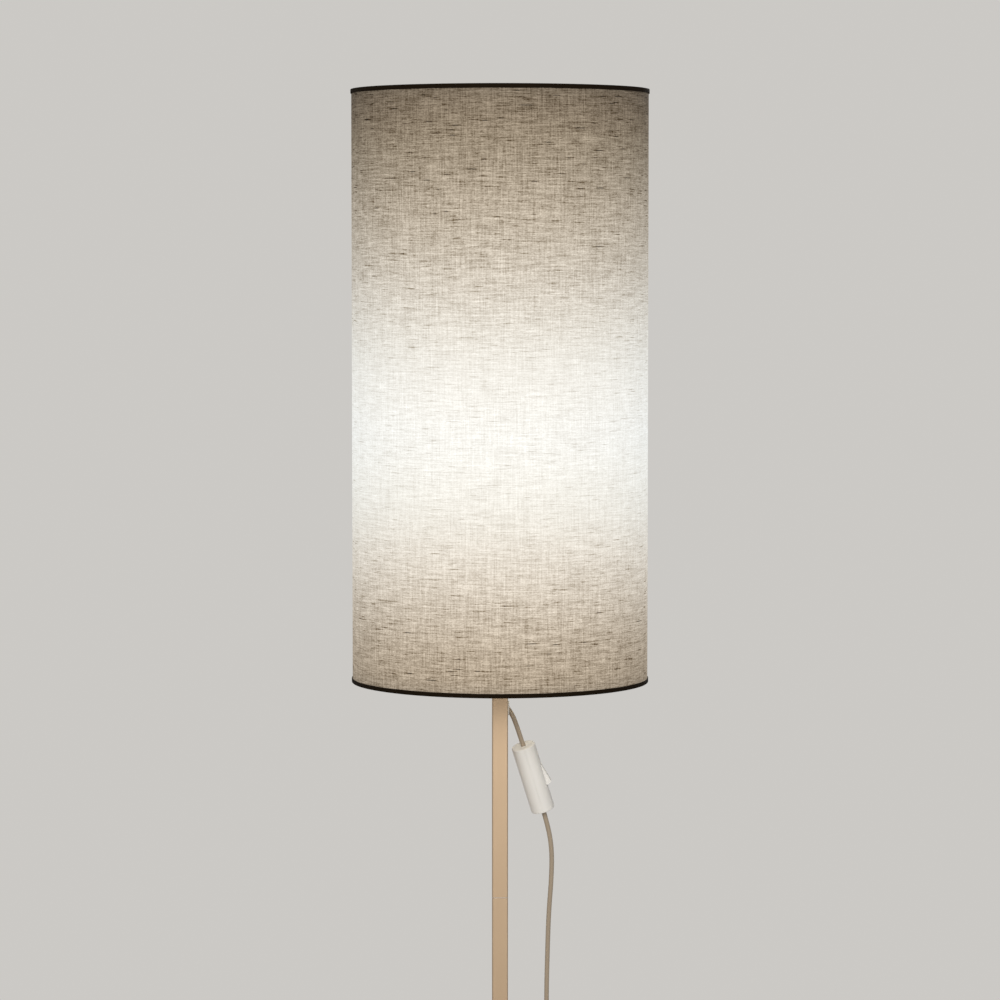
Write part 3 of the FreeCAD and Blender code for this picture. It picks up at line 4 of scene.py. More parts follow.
import bmesh
import bpy
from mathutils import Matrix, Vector


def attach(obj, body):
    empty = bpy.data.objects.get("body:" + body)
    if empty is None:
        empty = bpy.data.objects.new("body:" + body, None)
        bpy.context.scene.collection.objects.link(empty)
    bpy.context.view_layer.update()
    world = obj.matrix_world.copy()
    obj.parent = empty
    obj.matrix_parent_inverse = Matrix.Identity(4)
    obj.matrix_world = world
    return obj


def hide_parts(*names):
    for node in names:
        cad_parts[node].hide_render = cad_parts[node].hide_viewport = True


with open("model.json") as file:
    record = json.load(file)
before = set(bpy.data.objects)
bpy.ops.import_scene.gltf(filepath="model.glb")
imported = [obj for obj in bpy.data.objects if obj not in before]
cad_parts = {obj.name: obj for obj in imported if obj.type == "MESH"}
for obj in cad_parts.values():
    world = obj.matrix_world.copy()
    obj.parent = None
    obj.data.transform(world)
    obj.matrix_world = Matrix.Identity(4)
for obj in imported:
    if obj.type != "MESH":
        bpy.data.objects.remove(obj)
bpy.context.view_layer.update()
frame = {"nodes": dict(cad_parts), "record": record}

# --- sizes shared by the pieces made here, in metres ---
SHADE_BOTTOM = 0.7096
SHADE_HEIGHT = 0.700
SHADE_RADIUS = 0.175
TRIM_RADIUS = 0.17605
TRIM_INNER_RADIUS = 0.16845
CORD_DIAMETER = 0.00565
BULB_CENTRE = Vector((0.0, 0.0, 1.003))
DOME_FOOT = 0.982
DOME_BRIGHT = 1.030
CAMERA_DISTANCE = 4.465
CAMERA_ABOVE_SHADE_FOOT = 0.5153
CAMERA_TILT = 3.839
CAMERA_LENS = 135.9


# ---------------------------------------------------------------- camera, at the photograph's angle
camera = bpy.data.objects.new("camera", bpy.data.cameras.new("camera"))
bpy.context.scene.collection.objects.link(camera)
camera.location = (0.0, -CAMERA_DISTANCE, SHADE_BOTTOM + CAMERA_ABOVE_SHADE_FOOT)
camera.rotation_euler = (math.radians(90 - CAMERA_TILT), 0.0, 0.0)
camera.data.sensor_width = 36.0
camera.data.lens = CAMERA_LENS
camera.data.clip_end = 60.0
bpy.context.scene.camera = camera


# ---------------------------------------------------------------- cords
def cord_curve(name, points):
    """A round cord on one smooth spline whose control points are the route's points."""
    curve = bpy.data.curves.new(name, "CURVE")
    curve.dimensions = "3D"
    curve.bevel_depth = 1.0
    curve.bevel_resolution = 5
    curve.use_fill_caps = True
    spline = curve.splines.new("NURBS")
    spline.points.add(len(points) - 1)
    for place, point in zip(spline.points, points):
        place.co = (point[0], point[1], point[2], 1.0)
        place.radius = CORD_DIAMETER / 2
    spline.order_u = 3
    spline.use_endpoint_u = True
    spline.resolution_u = 6
    cord = bpy.data.objects.new(name, curve)
    bpy.context.scene.collection.objects.link(cord)
    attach(cord, "lamp")
    return cord


POLE_EXIT = Vector((0.0110, 0.0, 0.6747))
EXIT_DIRECTION = Vector((0.55919, 0.0, -0.82904))
SWITCH_TOP = Vector((0.02765, 0.008, 0.6313))
SWITCH_FOOT = Vector((0.051529, 0.027987, 0.552209))
SWITCH_AXIS = (SWITCH_TOP - SWITCH_FOOT).normalized()

upper_route = [
    POLE_EXIT,
    POLE_EXIT + EXIT_DIRECTION * 0.0065,
    POLE_EXIT + Vector((0.0080, 0.0016, -0.0164)),
    SWITCH_TOP + SWITCH_AXIS * 0.006,
    SWITCH_TOP - SWITCH_AXIS * 0.016,
]

# the coil winds clockwise as seen from above: in along the floor, up a layer, and out again
COIL_CENTRE = Vector((0.133, 0.139, 0.0))
COIL_TURNS = 6.25
COIL_PITCH = 0.00625
COIL_INNER_RADIUS = 0.031 - COIL_PITCH * 0.75
COIL_LOW = 0.004025
POINTS_PER_TURN = 24
OUT_TO_SPLINE = 1 / math.cos(math.pi / POINTS_PER_TURN)


def coil_point(turned, outset=1.0):
    """A point of the coil at an angle before or after its innermost point."""
    away = abs(turned)
    if away < math.pi / 2:
        away = away**2 / math.pi + math.pi / 4
    radius = (COIL_INNER_RADIUS + COIL_PITCH * away / (2 * math.pi)) * outset
    climb = min(max(turned / math.pi + 0.5, 0.0), 1.0)
    height = COIL_LOW + COIL_PITCH * (1 - math.cos(math.pi * climb)) / 2
    angle = math.pi / 2 - (turned + math.pi * COIL_TURNS)
    return COIL_CENTRE + Vector((radius * math.cos(angle), radius * math.sin(angle), height))


def coil_heading(turned):
    """Direction of the coil at an angle."""
    return (coil_point(turned + 1e-4) - coil_point(turned - 1e-4)).normalized()


coil_end = math.pi * COIL_TURNS
coil_mouth = coil_point(-coil_end) - coil_heading(-coil_end) * CORD_DIAMETER
coil_leave = coil_point(coil_end) + coil_heading(coil_end) * CORD_DIAMETER
coil_steps = round(COIL_TURNS * POINTS_PER_TURN)
coil_route = [
    coil_point(-coil_end + 2 * coil_end * (step + 0.5) / coil_steps, OUT_TO_SPLINE)
    for step in range(coil_steps)
]
PLUG_MOUTH = Vector((0.161, 0.060, 0.0069))

lower_route = (
    [
        SWITCH_FOOT + SWITCH_AXIS * 0.016,
        SWITCH_FOOT - SWITCH_AXIS * 0.018,
        SWITCH_FOOT + Vector((0.0109, 0.0125, -0.0487)),
        SWITCH_FOOT + Vector((0.0107, 0.0220, -0.0857)),
        SWITCH_FOOT + Vector((0.0074, 0.0340, -0.1317)),
        SWITCH_FOOT + Vector((0.0061, 0.0485, -0.1827)),
        SWITCH_FOOT + Vector((0.0051, 0.0640, -0.2367)),
        Vector((0.0572, 0.1080, 0.2600)),
        Vector((0.0550, 0.1250, 0.2050)),
        Vector((0.0552, 0.1410, 0.1520)),
        Vector((0.0575, 0.1560, 0.1060)),
        Vector((0.0610, 0.1680, 0.0690)),
        Vector((0.0675, 0.1755, 0.0380)),
        Vector((0.0805, 0.1805, 0.0145)),
        coil_mouth - coil_heading(-coil_end) * 0.022,
        coil_mouth,
    ]
    + coil_route
    + [
        coil_leave,
        coil_leave + coil_heading(coil_end) * 0.024,
        PLUG_MOUTH + Vector((0.0065, 0.0285, -0.0017)),
        PLUG_MOUTH + Vector((0.0, 0.007, 0.0)),
        PLUG_MOUTH - Vector((0.0, 0.015, 0.0)),
    ]
)

cord_to_switch = cord_curve("cord_to_switch", upper_route)
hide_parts("cord_upper")
cord_to_plug = cord_curve("cord_to_plug", lower_route)
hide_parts("cord_lower", "cord_coil", "cord_tail")


# ---------------------------------------------------------------- node tree helpers
def add(tree, kind, settings=None, **inputs):
    """A new node. Settings are its own fields; inputs are socket values or links, by socket name."""
    node = tree.nodes.new(kind)
    for key, value in (settings or {}).items():
        setattr(node, key, value)
    for key, value in inputs.items():
        feed(tree, node, key.replace("_", " "), value)
    return node


def feed(tree, node, name, value):
    """Sets or links a socket by its name or its number."""
    socket = node.inputs[name]
    if isinstance(value, bpy.types.NodeSocket):
        tree.links.new(value, socket)
    else:
        socket.default_value = value


def maths(tree, operation, *values):
    """A Math node on up to three values."""
    node = tree.nodes.new("ShaderNodeMath")
    node.operation = operation
    for number, value in enumerate(values):
        feed(tree, node, number, value)
    return node.outputs[0]


def stretch(tree, value, low, high, to_low, to_high):
    """A value's range turned into another, clamped."""
    node = tree.nodes.new("ShaderNodeMapRange")
    for number, entry in enumerate((value, low, high, to_low, to_high)):
        feed(tree, node, number, entry)
    return node.outputs[0]


def blend(tree, factor, first, second, mode="MIX"):
    """Two colours mixed."""
    node = tree.nodes.new("ShaderNodeMix")
    node.data_type = "RGBA"
    node.blend_type = mode
    feed(tree, node, 0, factor)
    feed(tree, node, 6, first)
    feed(tree, node, 7, second)
    return node.outputs[2]


def noise(tree, vector, scale, detail=3.0, roughness=0.55):
    """Noise between 0 and 1."""
    node = add(tree, "ShaderNodeTexNoise", Vector=vector, Scale=scale, Detail=detail, Roughness=roughness)
    return node.outputs["Fac"]


def scaled(tree, vector, factors):
    """Coordinates stretched along each axis."""
    node = add(tree, "ShaderNodeMapping", Vector=vector)
    node.inputs["Scale"].default_value = factors
    return node.outputs[0]


def shader_group(name, inputs, outputs):
    """An empty shader node group with named inputs and outputs."""
    group = bpy.data.node_groups.new(name, "ShaderNodeTree")
    for label, kind, value in inputs:
        socket = group.interface.new_socket(label, in_out="INPUT", socket_type=kind)
        socket.default_value = value
    for label, kind in outputs:
        group.interface.new_socket(label, in_out="OUTPUT", socket_type=kind)
    return group, group.nodes.new("NodeGroupInput"), group.nodes.new("NodeGroupOutput")


COLOUR = "NodeSocketColor"
NUMBER = "NodeSocketFloat"
VECTOR = "NodeSocketVector"


# ---------------------------------------------------------------- shader groups
# unevenness of the linen's threads: bumps per metre along a thread, and how much each darkens it
LONG_RUN = 34.0
LONG_WEIGHT = 3.0
SHORT_RUN = 420.0
SHORT_WEIGHT = 1.7
SLUB_RUN = 34.0
SLUB_START = 0.64
SLUB_FULL = 0.82
SLUB_WEIGHT = 2.0
WARP_RUN = 30.0
WARP_WEIGHT = 1.7
PATCHES_PER_METRE = (40.0, 90.0, 1.0)
PATCH_WEIGHT = 0.5
MEAN_TONE = 0.06


def make_slubby_weave():
    """Plain-weave linen. Each weft thread is thick and thin along its length, with dark slubs here and there.

    Cloth holds metres along and up the cloth. Tone is 0 on average, negative on thick dark threads.
    """
    group, given, out = shader_group(
        "slubby_weave",
        [("Cloth", VECTOR, (0, 0, 0)), ("Threads per metre", NUMBER, 1150.0)],
        [("Tone", NUMBER), ("Height", NUMBER)],
    )
    split = add(group, "ShaderNodeSeparateXYZ", Vector=given.outputs["Cloth"])
    threads = given.outputs["Threads per metre"]
    weft_place = maths(group, "MULTIPLY", split.outputs["Y"], threads)
    warp_place = maths(group, "MULTIPLY", split.outputs["X"], threads)
    weft_row = maths(group, "FLOOR", weft_place)
    warp_row = maths(group, "FLOOR", warp_place)

    def thread_noise(along, row, run, offset, detail):
        """Unevenness along each thread, with no likeness between neighbours. Run is the bumps per metre."""
        place = add(
            group, "ShaderNodeCombineXYZ",
            X=maths(group, "MULTIPLY", along, run), Y=maths(group, "MULTIPLY_ADD", row, 7.31, offset), Z=offset
        )
        return noise(group, place.outputs[0], 1.0, detail, 0.62)

    def weighed(bumps, weight):
        """Bumps turned into tone: 0 on average, darker where the noise is high."""
        return maths(group, "MULTIPLY", maths(group, "SUBTRACT", 0.5, bumps), weight)

    weft_long = thread_noise(split.outputs["X"], weft_row, LONG_RUN, 0.0, 3.0)
    weft_short = thread_noise(split.outputs["X"], weft_row, SHORT_RUN, 31.7, 1.0)
    weft_slub = thread_noise(split.outputs["X"], weft_row, SLUB_RUN, 77.1, 1.0)
    warp_long = thread_noise(split.outputs["Y"], warp_row, WARP_RUN, 113.3, 2.0)
    patches = noise(group, scaled(group, given.outputs["Cloth"], PATCHES_PER_METRE), 1.0, 2.0)
    weft = maths(group, "ADD", weighed(weft_long, LONG_WEIGHT), weighed(weft_short, SHORT_WEIGHT))
    slub = stretch(group, weft_slub, SLUB_START, SLUB_FULL, 0.0, -SLUB_WEIGHT)
    woven = maths(group, "ADD", weft, maths(group, "ADD", slub, weighed(warp_long, WARP_WEIGHT)))
    tone = maths(group, "ADD", woven, weighed(patches, PATCH_WEIGHT))
    group.links.new(maths(group, "ADD", tone, MEAN_TONE), out.inputs["Tone"])
    weft_wave = maths(group, "SINE", maths(group, "MULTIPLY", weft_place, 2 * math.pi))
    warp_wave = maths(group, "SINE", maths(group, "MULTIPLY", warp_place, 2 * math.pi))
    checks = maths(group, "MULTIPLY", maths(group, "MULTIPLY", weft_wave, warp_wave), 0.3)
    group.links.new(maths(group, "MULTIPLY_ADD", woven, -0.4, checks), out.inputs["Height"])
    return group


def make_thread_tint():
    """A cloth colour made lighter and darker by its threads: the dark ones are browner."""
    group, given, out = shader_group(
        "thread_tint",
        [("Colour", COLOUR, (0.5, 0.5, 0.5, 1)), ("Tone", NUMBER, 0.0), ("Strength", NUMBER, 0.2)],
        [("Colour", COLOUR)],
    )
    change = maths(group, "MULTIPLY", given.outputs["Tone"], given.outputs["Strength"])
    tint = add(
        group, "ShaderNodeCombineColor",
        Red=maths(group, "MAXIMUM", maths(group, "MULTIPLY_ADD", change, 0.84, 1.0), 0.04),
        Green=maths(group, "MAXIMUM", maths(group, "MULTIPLY_ADD", change, 0.91, 1.0), 0.03),
        Blue=maths(group, "MAXIMUM", maths(group, "MULTIPLY_ADD", change, 1.01, 1.0), 0.02),
    )
    tinted = blend(group, 1.0, given.outputs["Colour"], tint.outputs[0], "MULTIPLY")
    group.links.new(tinted, out.inputs["Colour"])
    return group


def make_surface_grain():
    """Fine unevenness of lacquer or moulded plastic: colour drift, roughness and height."""
    group, given, out = shader_group(
        "surface_grain",
        [
            ("Colour", COLOUR, (0.5, 0.5, 0.5, 1)),
            ("Grain per metre", NUMBER, 1500.0),
            ("Drift", NUMBER, 0.05),
            ("Roughness", NUMBER, 0.4),
            ("Roughness drift", NUMBER, 0.06),
        ],
        [("Colour", COLOUR), ("Roughness", NUMBER), ("Height", NUMBER)],
    )
    place = add(group, "ShaderNodeTexCoord").outputs["Object"]
    cloud = noise(group, place, 26.0, 3.0)
    grain = noise(group, place, given.outputs["Grain per metre"], 2.0)
    change = maths(group, "MULTIPLY", maths(group, "SUBTRACT", cloud, 0.5), given.outputs["Drift"])
    bright = maths(group, "ADD", 1.0, change)
    tint = add(group, "ShaderNodeCombineColor", Red=bright, Green=bright, Blue=bright)
    tinted = blend(group, 1.0, given.outputs["Colour"], tint.outputs[0], "MULTIPLY")
    group.links.new(tinted, out.inputs["Colour"])
    rough = maths(
        group, "MULTIPLY_ADD", maths(group, "SUBTRACT", grain, 0.5), given.outputs["Roughness drift"],
        given.outputs["Roughness"]
    )
    group.links.new(rough, out.inputs["Roughness"])
    group.links.new(grain, out.inputs["Height"])
    return group


def make_drawn_metal():
    """Fine lines left by drawing or turning: roughness and height. Stretch sets which way they run."""
    group, given, out = shader_group(
        "drawn_metal",
        [
            ("Stretch", VECTOR, (900.0, 900.0, 30.0)),
            ("Roughness", NUMBER, 0.3),
            ("Roughness drift", NUMBER, 0.15),
        ],
        [("Roughness", NUMBER), ("Height", NUMBER)],
    )
    place = add(group, "ShaderNodeTexCoord").outputs["Object"]
    mapping = add(group, "ShaderNodeMapping", Vector=place, Scale=given.outputs["Stretch"])
    lines = noise(group, mapping.outputs[0], 1.0, 4.0, 0.6)
    rough = maths(
        group, "MULTIPLY_ADD", maths(group, "SUBTRACT", lines, 0.5), given.outputs["Roughness drift"],
        given.outputs["Roughness"]
    )
    group.links.new(rough, out.inputs["Roughness"])
    group.links.new(lines, out.inputs["Height"])
    return group


slubby_weave = make_slubby_weave()
thread_tint = make_thread_tint()
surface_grain = make_surface_grain()
drawn_metal = make_drawn_metal()


def use_group(tree, group, **inputs):
    """A shader group placed in a material."""
    node = tree.nodes.new("ShaderNodeGroup")
    node.node_tree = group
    for key, value in inputs.items():
        feed(tree, node, key.replace("_", " "), value)
    return node.outputs


def empty_material(name):
    """A material with only an output and a Principled shader."""
    material = bpy.data.materials.new(name)
    material.use_nodes = True
    tree = material.node_tree
    tree.nodes.clear()
    shader = tree.nodes.new("ShaderNodeBsdfPrincipled")
    out = tree.nodes.new("ShaderNodeOutputMaterial")
    tree.links.new(shader.outputs[0], out.inputs["Surface"])
    return material, tree, shader


def bump(tree, shader, height, distance, strength=1.0):
    """Feeds a height into the shader's normal."""
    node = add(tree, "ShaderNodeBump", Height=height, Strength=strength, Distance=distance)
    tree.links.new(node.outputs[0], shader.inputs["Normal"])


# ---------------------------------------------------------------- materials
def grained(name, colour, roughness, grain, distance, drift=0.05, sheen=0.0):
    """Lacquer or plastic with a fine grain."""
    material, tree, shader = empty_material(name)
    surface = use_group(
        tree, surface_grain, Colour=(*colour, 1.0), Grain_per_metre=grain, Drift=drift, Roughness=roughness
    )
    tree.links.new(surface["Colour"], shader.inputs["Base Color"])
    tree.links.new(surface["Roughness"], shader.inputs["Roughness"])
    shader.inputs["Sheen Weight"].default_value = sheen
    bump(tree, shader, surface["Height"], distance)
    return material


def metal(name, colour, roughness, stretch_lines, distance=0.00002):
    """Bare metal with drawn or turned lines."""
    material, tree, shader = empty_material(name)
    surface = use_group(tree, drawn_metal, Stretch=stretch_lines, Roughness=roughness)
    shader.inputs["Base Color"].default_value = (*colour, 1.0)
    shader.inputs["Metallic"].default_value = 1.0
    tree.links.new(surface["Roughness"], shader.inputs["Roughness"])
    bump(tree, shader, surface["Height"], distance)
    return material


LINEN_COLOUR = (0.200, 0.161, 0.117, 1.0)
LINEN_CONTRAST_DIM = 1.05
LINEN_CONTRAST_BRIGHT = 0.25
DIM_GLOW = 0.05
BRIGHT_GLOW = 0.70

# colour of the light that comes through the linen, from the shade's lower edge to its upper edge
GLOW = [
    (0.000, (0.213, 0.175, 0.131)),
    (0.045, (0.250, 0.207, 0.156)),
    (0.106, (0.353, 0.307, 0.248)),
    (0.170, (0.489, 0.450, 0.390)),
    (0.235, (0.614, 0.590, 0.537)),
    (0.300, (0.699, 0.706, 0.672)),
    (0.360, (0.744, 0.758, 0.732)),
    (0.420, (0.764, 0.790, 0.784)),
    (0.480, (0.744, 0.758, 0.737)),
    (0.540, (0.694, 0.703, 0.677)),
    (0.600, (0.604, 0.598, 0.557)),
    (0.660, (0.494, 0.473, 0.427)),
    (0.725, (0.384, 0.355, 0.304)),
    (0.790, (0.289, 0.256, 0.208)),
    (0.850, (0.194, 0.168, 0.131)),
    (0.910, (0.114, 0.094, 0.067)),
    (0.955, (0.038, 0.028, 0.018)),
    (1.000, (0.000, 0.000, 0.000)),
]


def glow_ramp(tree, height, bottom, top):
    """Colour of the transmitted light at a height."""
    ramp = tree.nodes.new("ShaderNodeValToRGB")
    ramp.color_ramp.interpolation = "B_SPLINE"
    stops = ramp.color_ramp.elements
    stops[0].position = GLOW[0][0]
    stops[0].color = (*GLOW[0][1], 1.0)
    stops[1].position = GLOW[-1][0]
    stops[1].color = (*GLOW[-1][1], 1.0)
    for place, colour in GLOW[1:-1]:
        stop = stops.new(place)
        stop.color = (*colour, 1.0)
    tree.links.new(stretch(tree, height, bottom, top, 0.0, 1.0), ramp.inputs[0])
    return ramp.outputs[0]


def linen_material():
    """Natural linen with the lamp's light coming through it."""
    material, tree, shader = empty_material("natural_linen")
    cloth = add(tree, "ShaderNodeAttribute", {"attribute_name": "cloth"}).outputs["Vector"]
    height = add(tree, "ShaderNodeSeparateXYZ", Vector=cloth).outputs["Y"]
    glow = glow_ramp(tree, height, 0.0, SHADE_HEIGHT)
    brightness = add(tree, "ShaderNodeSeparateColor", Color=glow).outputs["Green"]
    contrast = stretch(tree, brightness, DIM_GLOW, BRIGHT_GLOW, LINEN_CONTRAST_DIM, LINEN_CONTRAST_BRIGHT)
    weave = use_group(tree, slubby_weave, Cloth=cloth)
    spun = use_group(tree, thread_tint, Colour=LINEN_COLOUR, Tone=weave["Tone"], Strength=contrast)
    tree.links.new(spun["Colour"], shader.inputs["Base Color"])
    shader.inputs["Roughness"].default_value = 0.9
    shader.inputs["Specular IOR Level"].default_value = 0.08
    shader.inputs["Sheen Weight"].default_value = 0.03
    shader.inputs["Sheen Roughness"].default_value = 0.5
    lit = use_group(tree, thread_tint, Colour=glow, Tone=weave["Tone"], Strength=contrast)
    tree.links.new(lit["Colour"], shader.inputs["Emission Color"])
    shader.inputs["Emission Strength"].default_value = 1.0
    bump(tree, shader, weave["Height"], 0.00010)
    return material


def liner_material():
    """Translucent film inside the linen, bright where the bulb is near."""
    material, tree, shader = empty_material("liner_film")
    place = add(tree, "ShaderNodeTexCoord").outputs["Object"]
    surface = use_group(
        tree, surface_grain, Colour=(0.80, 0.77, 0.69, 1.0), Grain_per_metre=700.0, Roughness=0.5
    )
    tree.links.new(surface["Colour"], shader.inputs["Base Color"])
    tree.links.new(surface["Roughness"], shader.inputs["Roughness"])
    height = add(tree, "ShaderNodeSeparateXYZ", Vector=place).outputs["Z"]
    glow = glow_ramp(tree, height, SHADE_BOTTOM, SHADE_BOTTOM + SHADE_HEIGHT)
    tree.links.new(glow, shader.inputs["Emission Color"])
    shader.inputs["Emission Strength"].default_value = 0.25
    bump(tree, shader, surface["Height"], 0.00003)
    return material


def trim_material():
    """Dark brown woven binding."""
    material, tree, shader = empty_material("brown_binding")
    cloth = add(tree, "ShaderNodeAttribute", {"attribute_name": "cloth"}).outputs["Vector"]
    weave = use_group(tree, slubby_weave, Cloth=cloth, Threads_per_metre=2400.0)
    spun = use_group(tree, thread_tint, Colour=(0.0098, 0.0058, 0.0026, 1.0), Tone=weave["Tone"], Strength=0.5)
    tree.links.new(spun["Colour"], shader.inputs["Base Color"])
    shader.inputs["Roughness"].default_value = 0.85
    shader.inputs["Specular IOR Level"].default_value = 0.05
    bump(tree, shader, weave["Height"], 0.00010)
    return material


def bulb_material():
    """Opal dome, lit."""
    material, tree, shader = empty_material("opal_lit")
    surface = use_group(
        tree, surface_grain, Colour=(0.90, 0.88, 0.82, 1.0), Grain_per_metre=500.0, Roughness=0.35
    )
    tree.links.new(surface["Colour"], shader.inputs["Base Color"])
    tree.links.new(surface["Roughness"], shader.inputs["Roughness"])
    place = add(tree, "ShaderNodeTexCoord").outputs["Object"]
    height = add(tree, "ShaderNodeSeparateXYZ", Vector=place).outputs["Z"]
    near_top = stretch(tree, height, DOME_FOOT, DOME_BRIGHT, 0.0, 1.0)
    lit = blend(tree, near_top, (1.0, 0.80, 0.55, 1), (1.0, 0.90, 0.74, 1))
    tree.links.new(lit, shader.inputs["Emission Color"])
    shader.inputs["Emission Strength"].default_value = 1.6
    return material


def cord_material():
    """Taupe cord sheath, satin, with faint marks along it."""
    material, tree, shader = empty_material("taupe_sheath")
    surface = use_group(
        tree, surface_grain, Colour=(0.375, 0.305, 0.225, 1.0), Grain_per_metre=900.0, Drift=0.12,
        Roughness=0.46
    )
    tree.links.new(surface["Colour"], shader.inputs["Base Color"])
    tree.links.new(surface["Roughness"], shader.inputs["Roughness"])
    bump(tree, shader, surface["Height"], 0.00006)
    return material


finishes = {
    "champagne_finish": metal("champagne_satin", (0.44, 0.325, 0.218), 0.40, (2400.0, 2400.0, 26.0), 0.000012),
    "zinc_steel": metal("zinc_steel", (0.60, 0.60, 0.58), 0.34, (900.0, 900.0, 60.0)),
    "brass": metal("contact_brass", (0.78, 0.57, 0.28), 0.28, (700.0, 700.0, 120.0)),
    "pad": grained("pad_rubber", (0.025, 0.025, 0.025), 0.85, 900.0, 0.00012, drift=0.3),
    "white_plastic": grained("white_plastic", (0.80, 0.785, 0.75), 0.42, 1900.0, 0.00002, drift=0.03),
    "holder_plastic": grained("holder_plastic", (0.022, 0.021, 0.020), 0.38, 1600.0, 0.00003, drift=0.2),
    "plated_steel": metal("plated_cap", (0.78, 0.76, 0.71), 0.22, (60.0, 60.0, 1500.0)),
    "frame_white": grained("frame_white", (0.80, 0.78, 0.73), 0.45, 1400.0, 0.00003),
    "liner_film": liner_material(),
    "linen": linen_material(),
    "trim_brown": trim_material(),
    "opal": bulb_material(),
    "bulb_white": grained("bulb_collar", (0.80, 0.79, 0.76), 0.40, 1500.0, 0.00002),
    "bulb_insulation": grained("bulb_insulation", (0.012, 0.012, 0.014), 0.20, 800.0, 0.00001),
    "solder": metal("contact_solder", (0.66, 0.66, 0.64), 0.36, (500.0, 500.0, 500.0)),
    "cord_sheath": cord_material(),
    "core_insulation": grained("core_insulation", (0.10, 0.17, 0.42), 0.45, 1200.0, 0.00002),
    "tie_black": grained("tie_fabric", (0.022, 0.022, 0.022), 0.85, 2600.0, 0.00015, drift=0.5, sheen=0.2),
}

slot_of = {entry["node"]: entry["material_slot"] for entry in frame["record"]["subparts"]}
for node, item in frame["nodes"].items():
    item.data.materials.clear()
    item.data.materials.append(finishes[slot_of[node]])
for cord in (cord_to_switch, cord_to_plug):
    cord.data.materials.append(finishes["cord_sheath"])


# ---------------------------------------------------------------- geometry nodes helpers
def geometry_tree(name, sizes):
    """A geometry node tree with named number inputs and one geometry output."""
    tree = bpy.data.node_groups.new(name, "GeometryNodeTree")
    tree.interface.new_socket("Geometry", in_out="OUTPUT", socket_type="NodeSocketGeometry")
    tree.interface.new_socket("Geometry", in_out="INPUT", socket_type="NodeSocketGeometry")
    for label, kind in sizes:
        tree.interface.new_socket(label, in_out="INPUT", socket_type=kind)
    return tree, tree.nodes.new("NodeGroupInput").outputs, tree.nodes.new("NodeGroupOutput").inputs


def grown(name, tree, values, extra=None):
    """A mesh piece grown by a geometry node tree, as a plain object that rides on the lamp."""
    seed = bpy.data.objects.new(name + "_seed", bpy.data.meshes.new(name + "_seed"))
    bpy.context.scene.collection.objects.link(seed)
    modifier = seed.modifiers.new("growth", "NODES")
    modifier.node_group = tree
    for item in tree.interface.items_tree:
        if item.in_out == "INPUT" and item.name in values:
            modifier[item.identifier] = values[item.name]
    if extra:
        extra(seed)
    evaluated = seed.evaluated_get(bpy.context.evaluated_depsgraph_get())
    mesh = bpy.data.meshes.new_from_object(evaluated)
    bpy.data.objects.remove(seed)
    mesh.name = name
    piece = bpy.data.objects.new(name, mesh)
    bpy.context.scene.collection.objects.link(piece)
    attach(piece, "lamp")
    return piece


def finish_tree(tree, geometry, out, material):
    """Ends a tree with real geometry in one material."""
    real = add(tree, "GeometryNodeRealizeInstances", Geometry=geometry)
    painted = add(tree, "GeometryNodeSetMaterial", Geometry=real.outputs[0], Material=material)
    smooth = add(tree, "GeometryNodeSetShadeSmooth", Geometry=painted.outputs[0])
    tree.links.new(smooth.outputs[0], out["Geometry"])


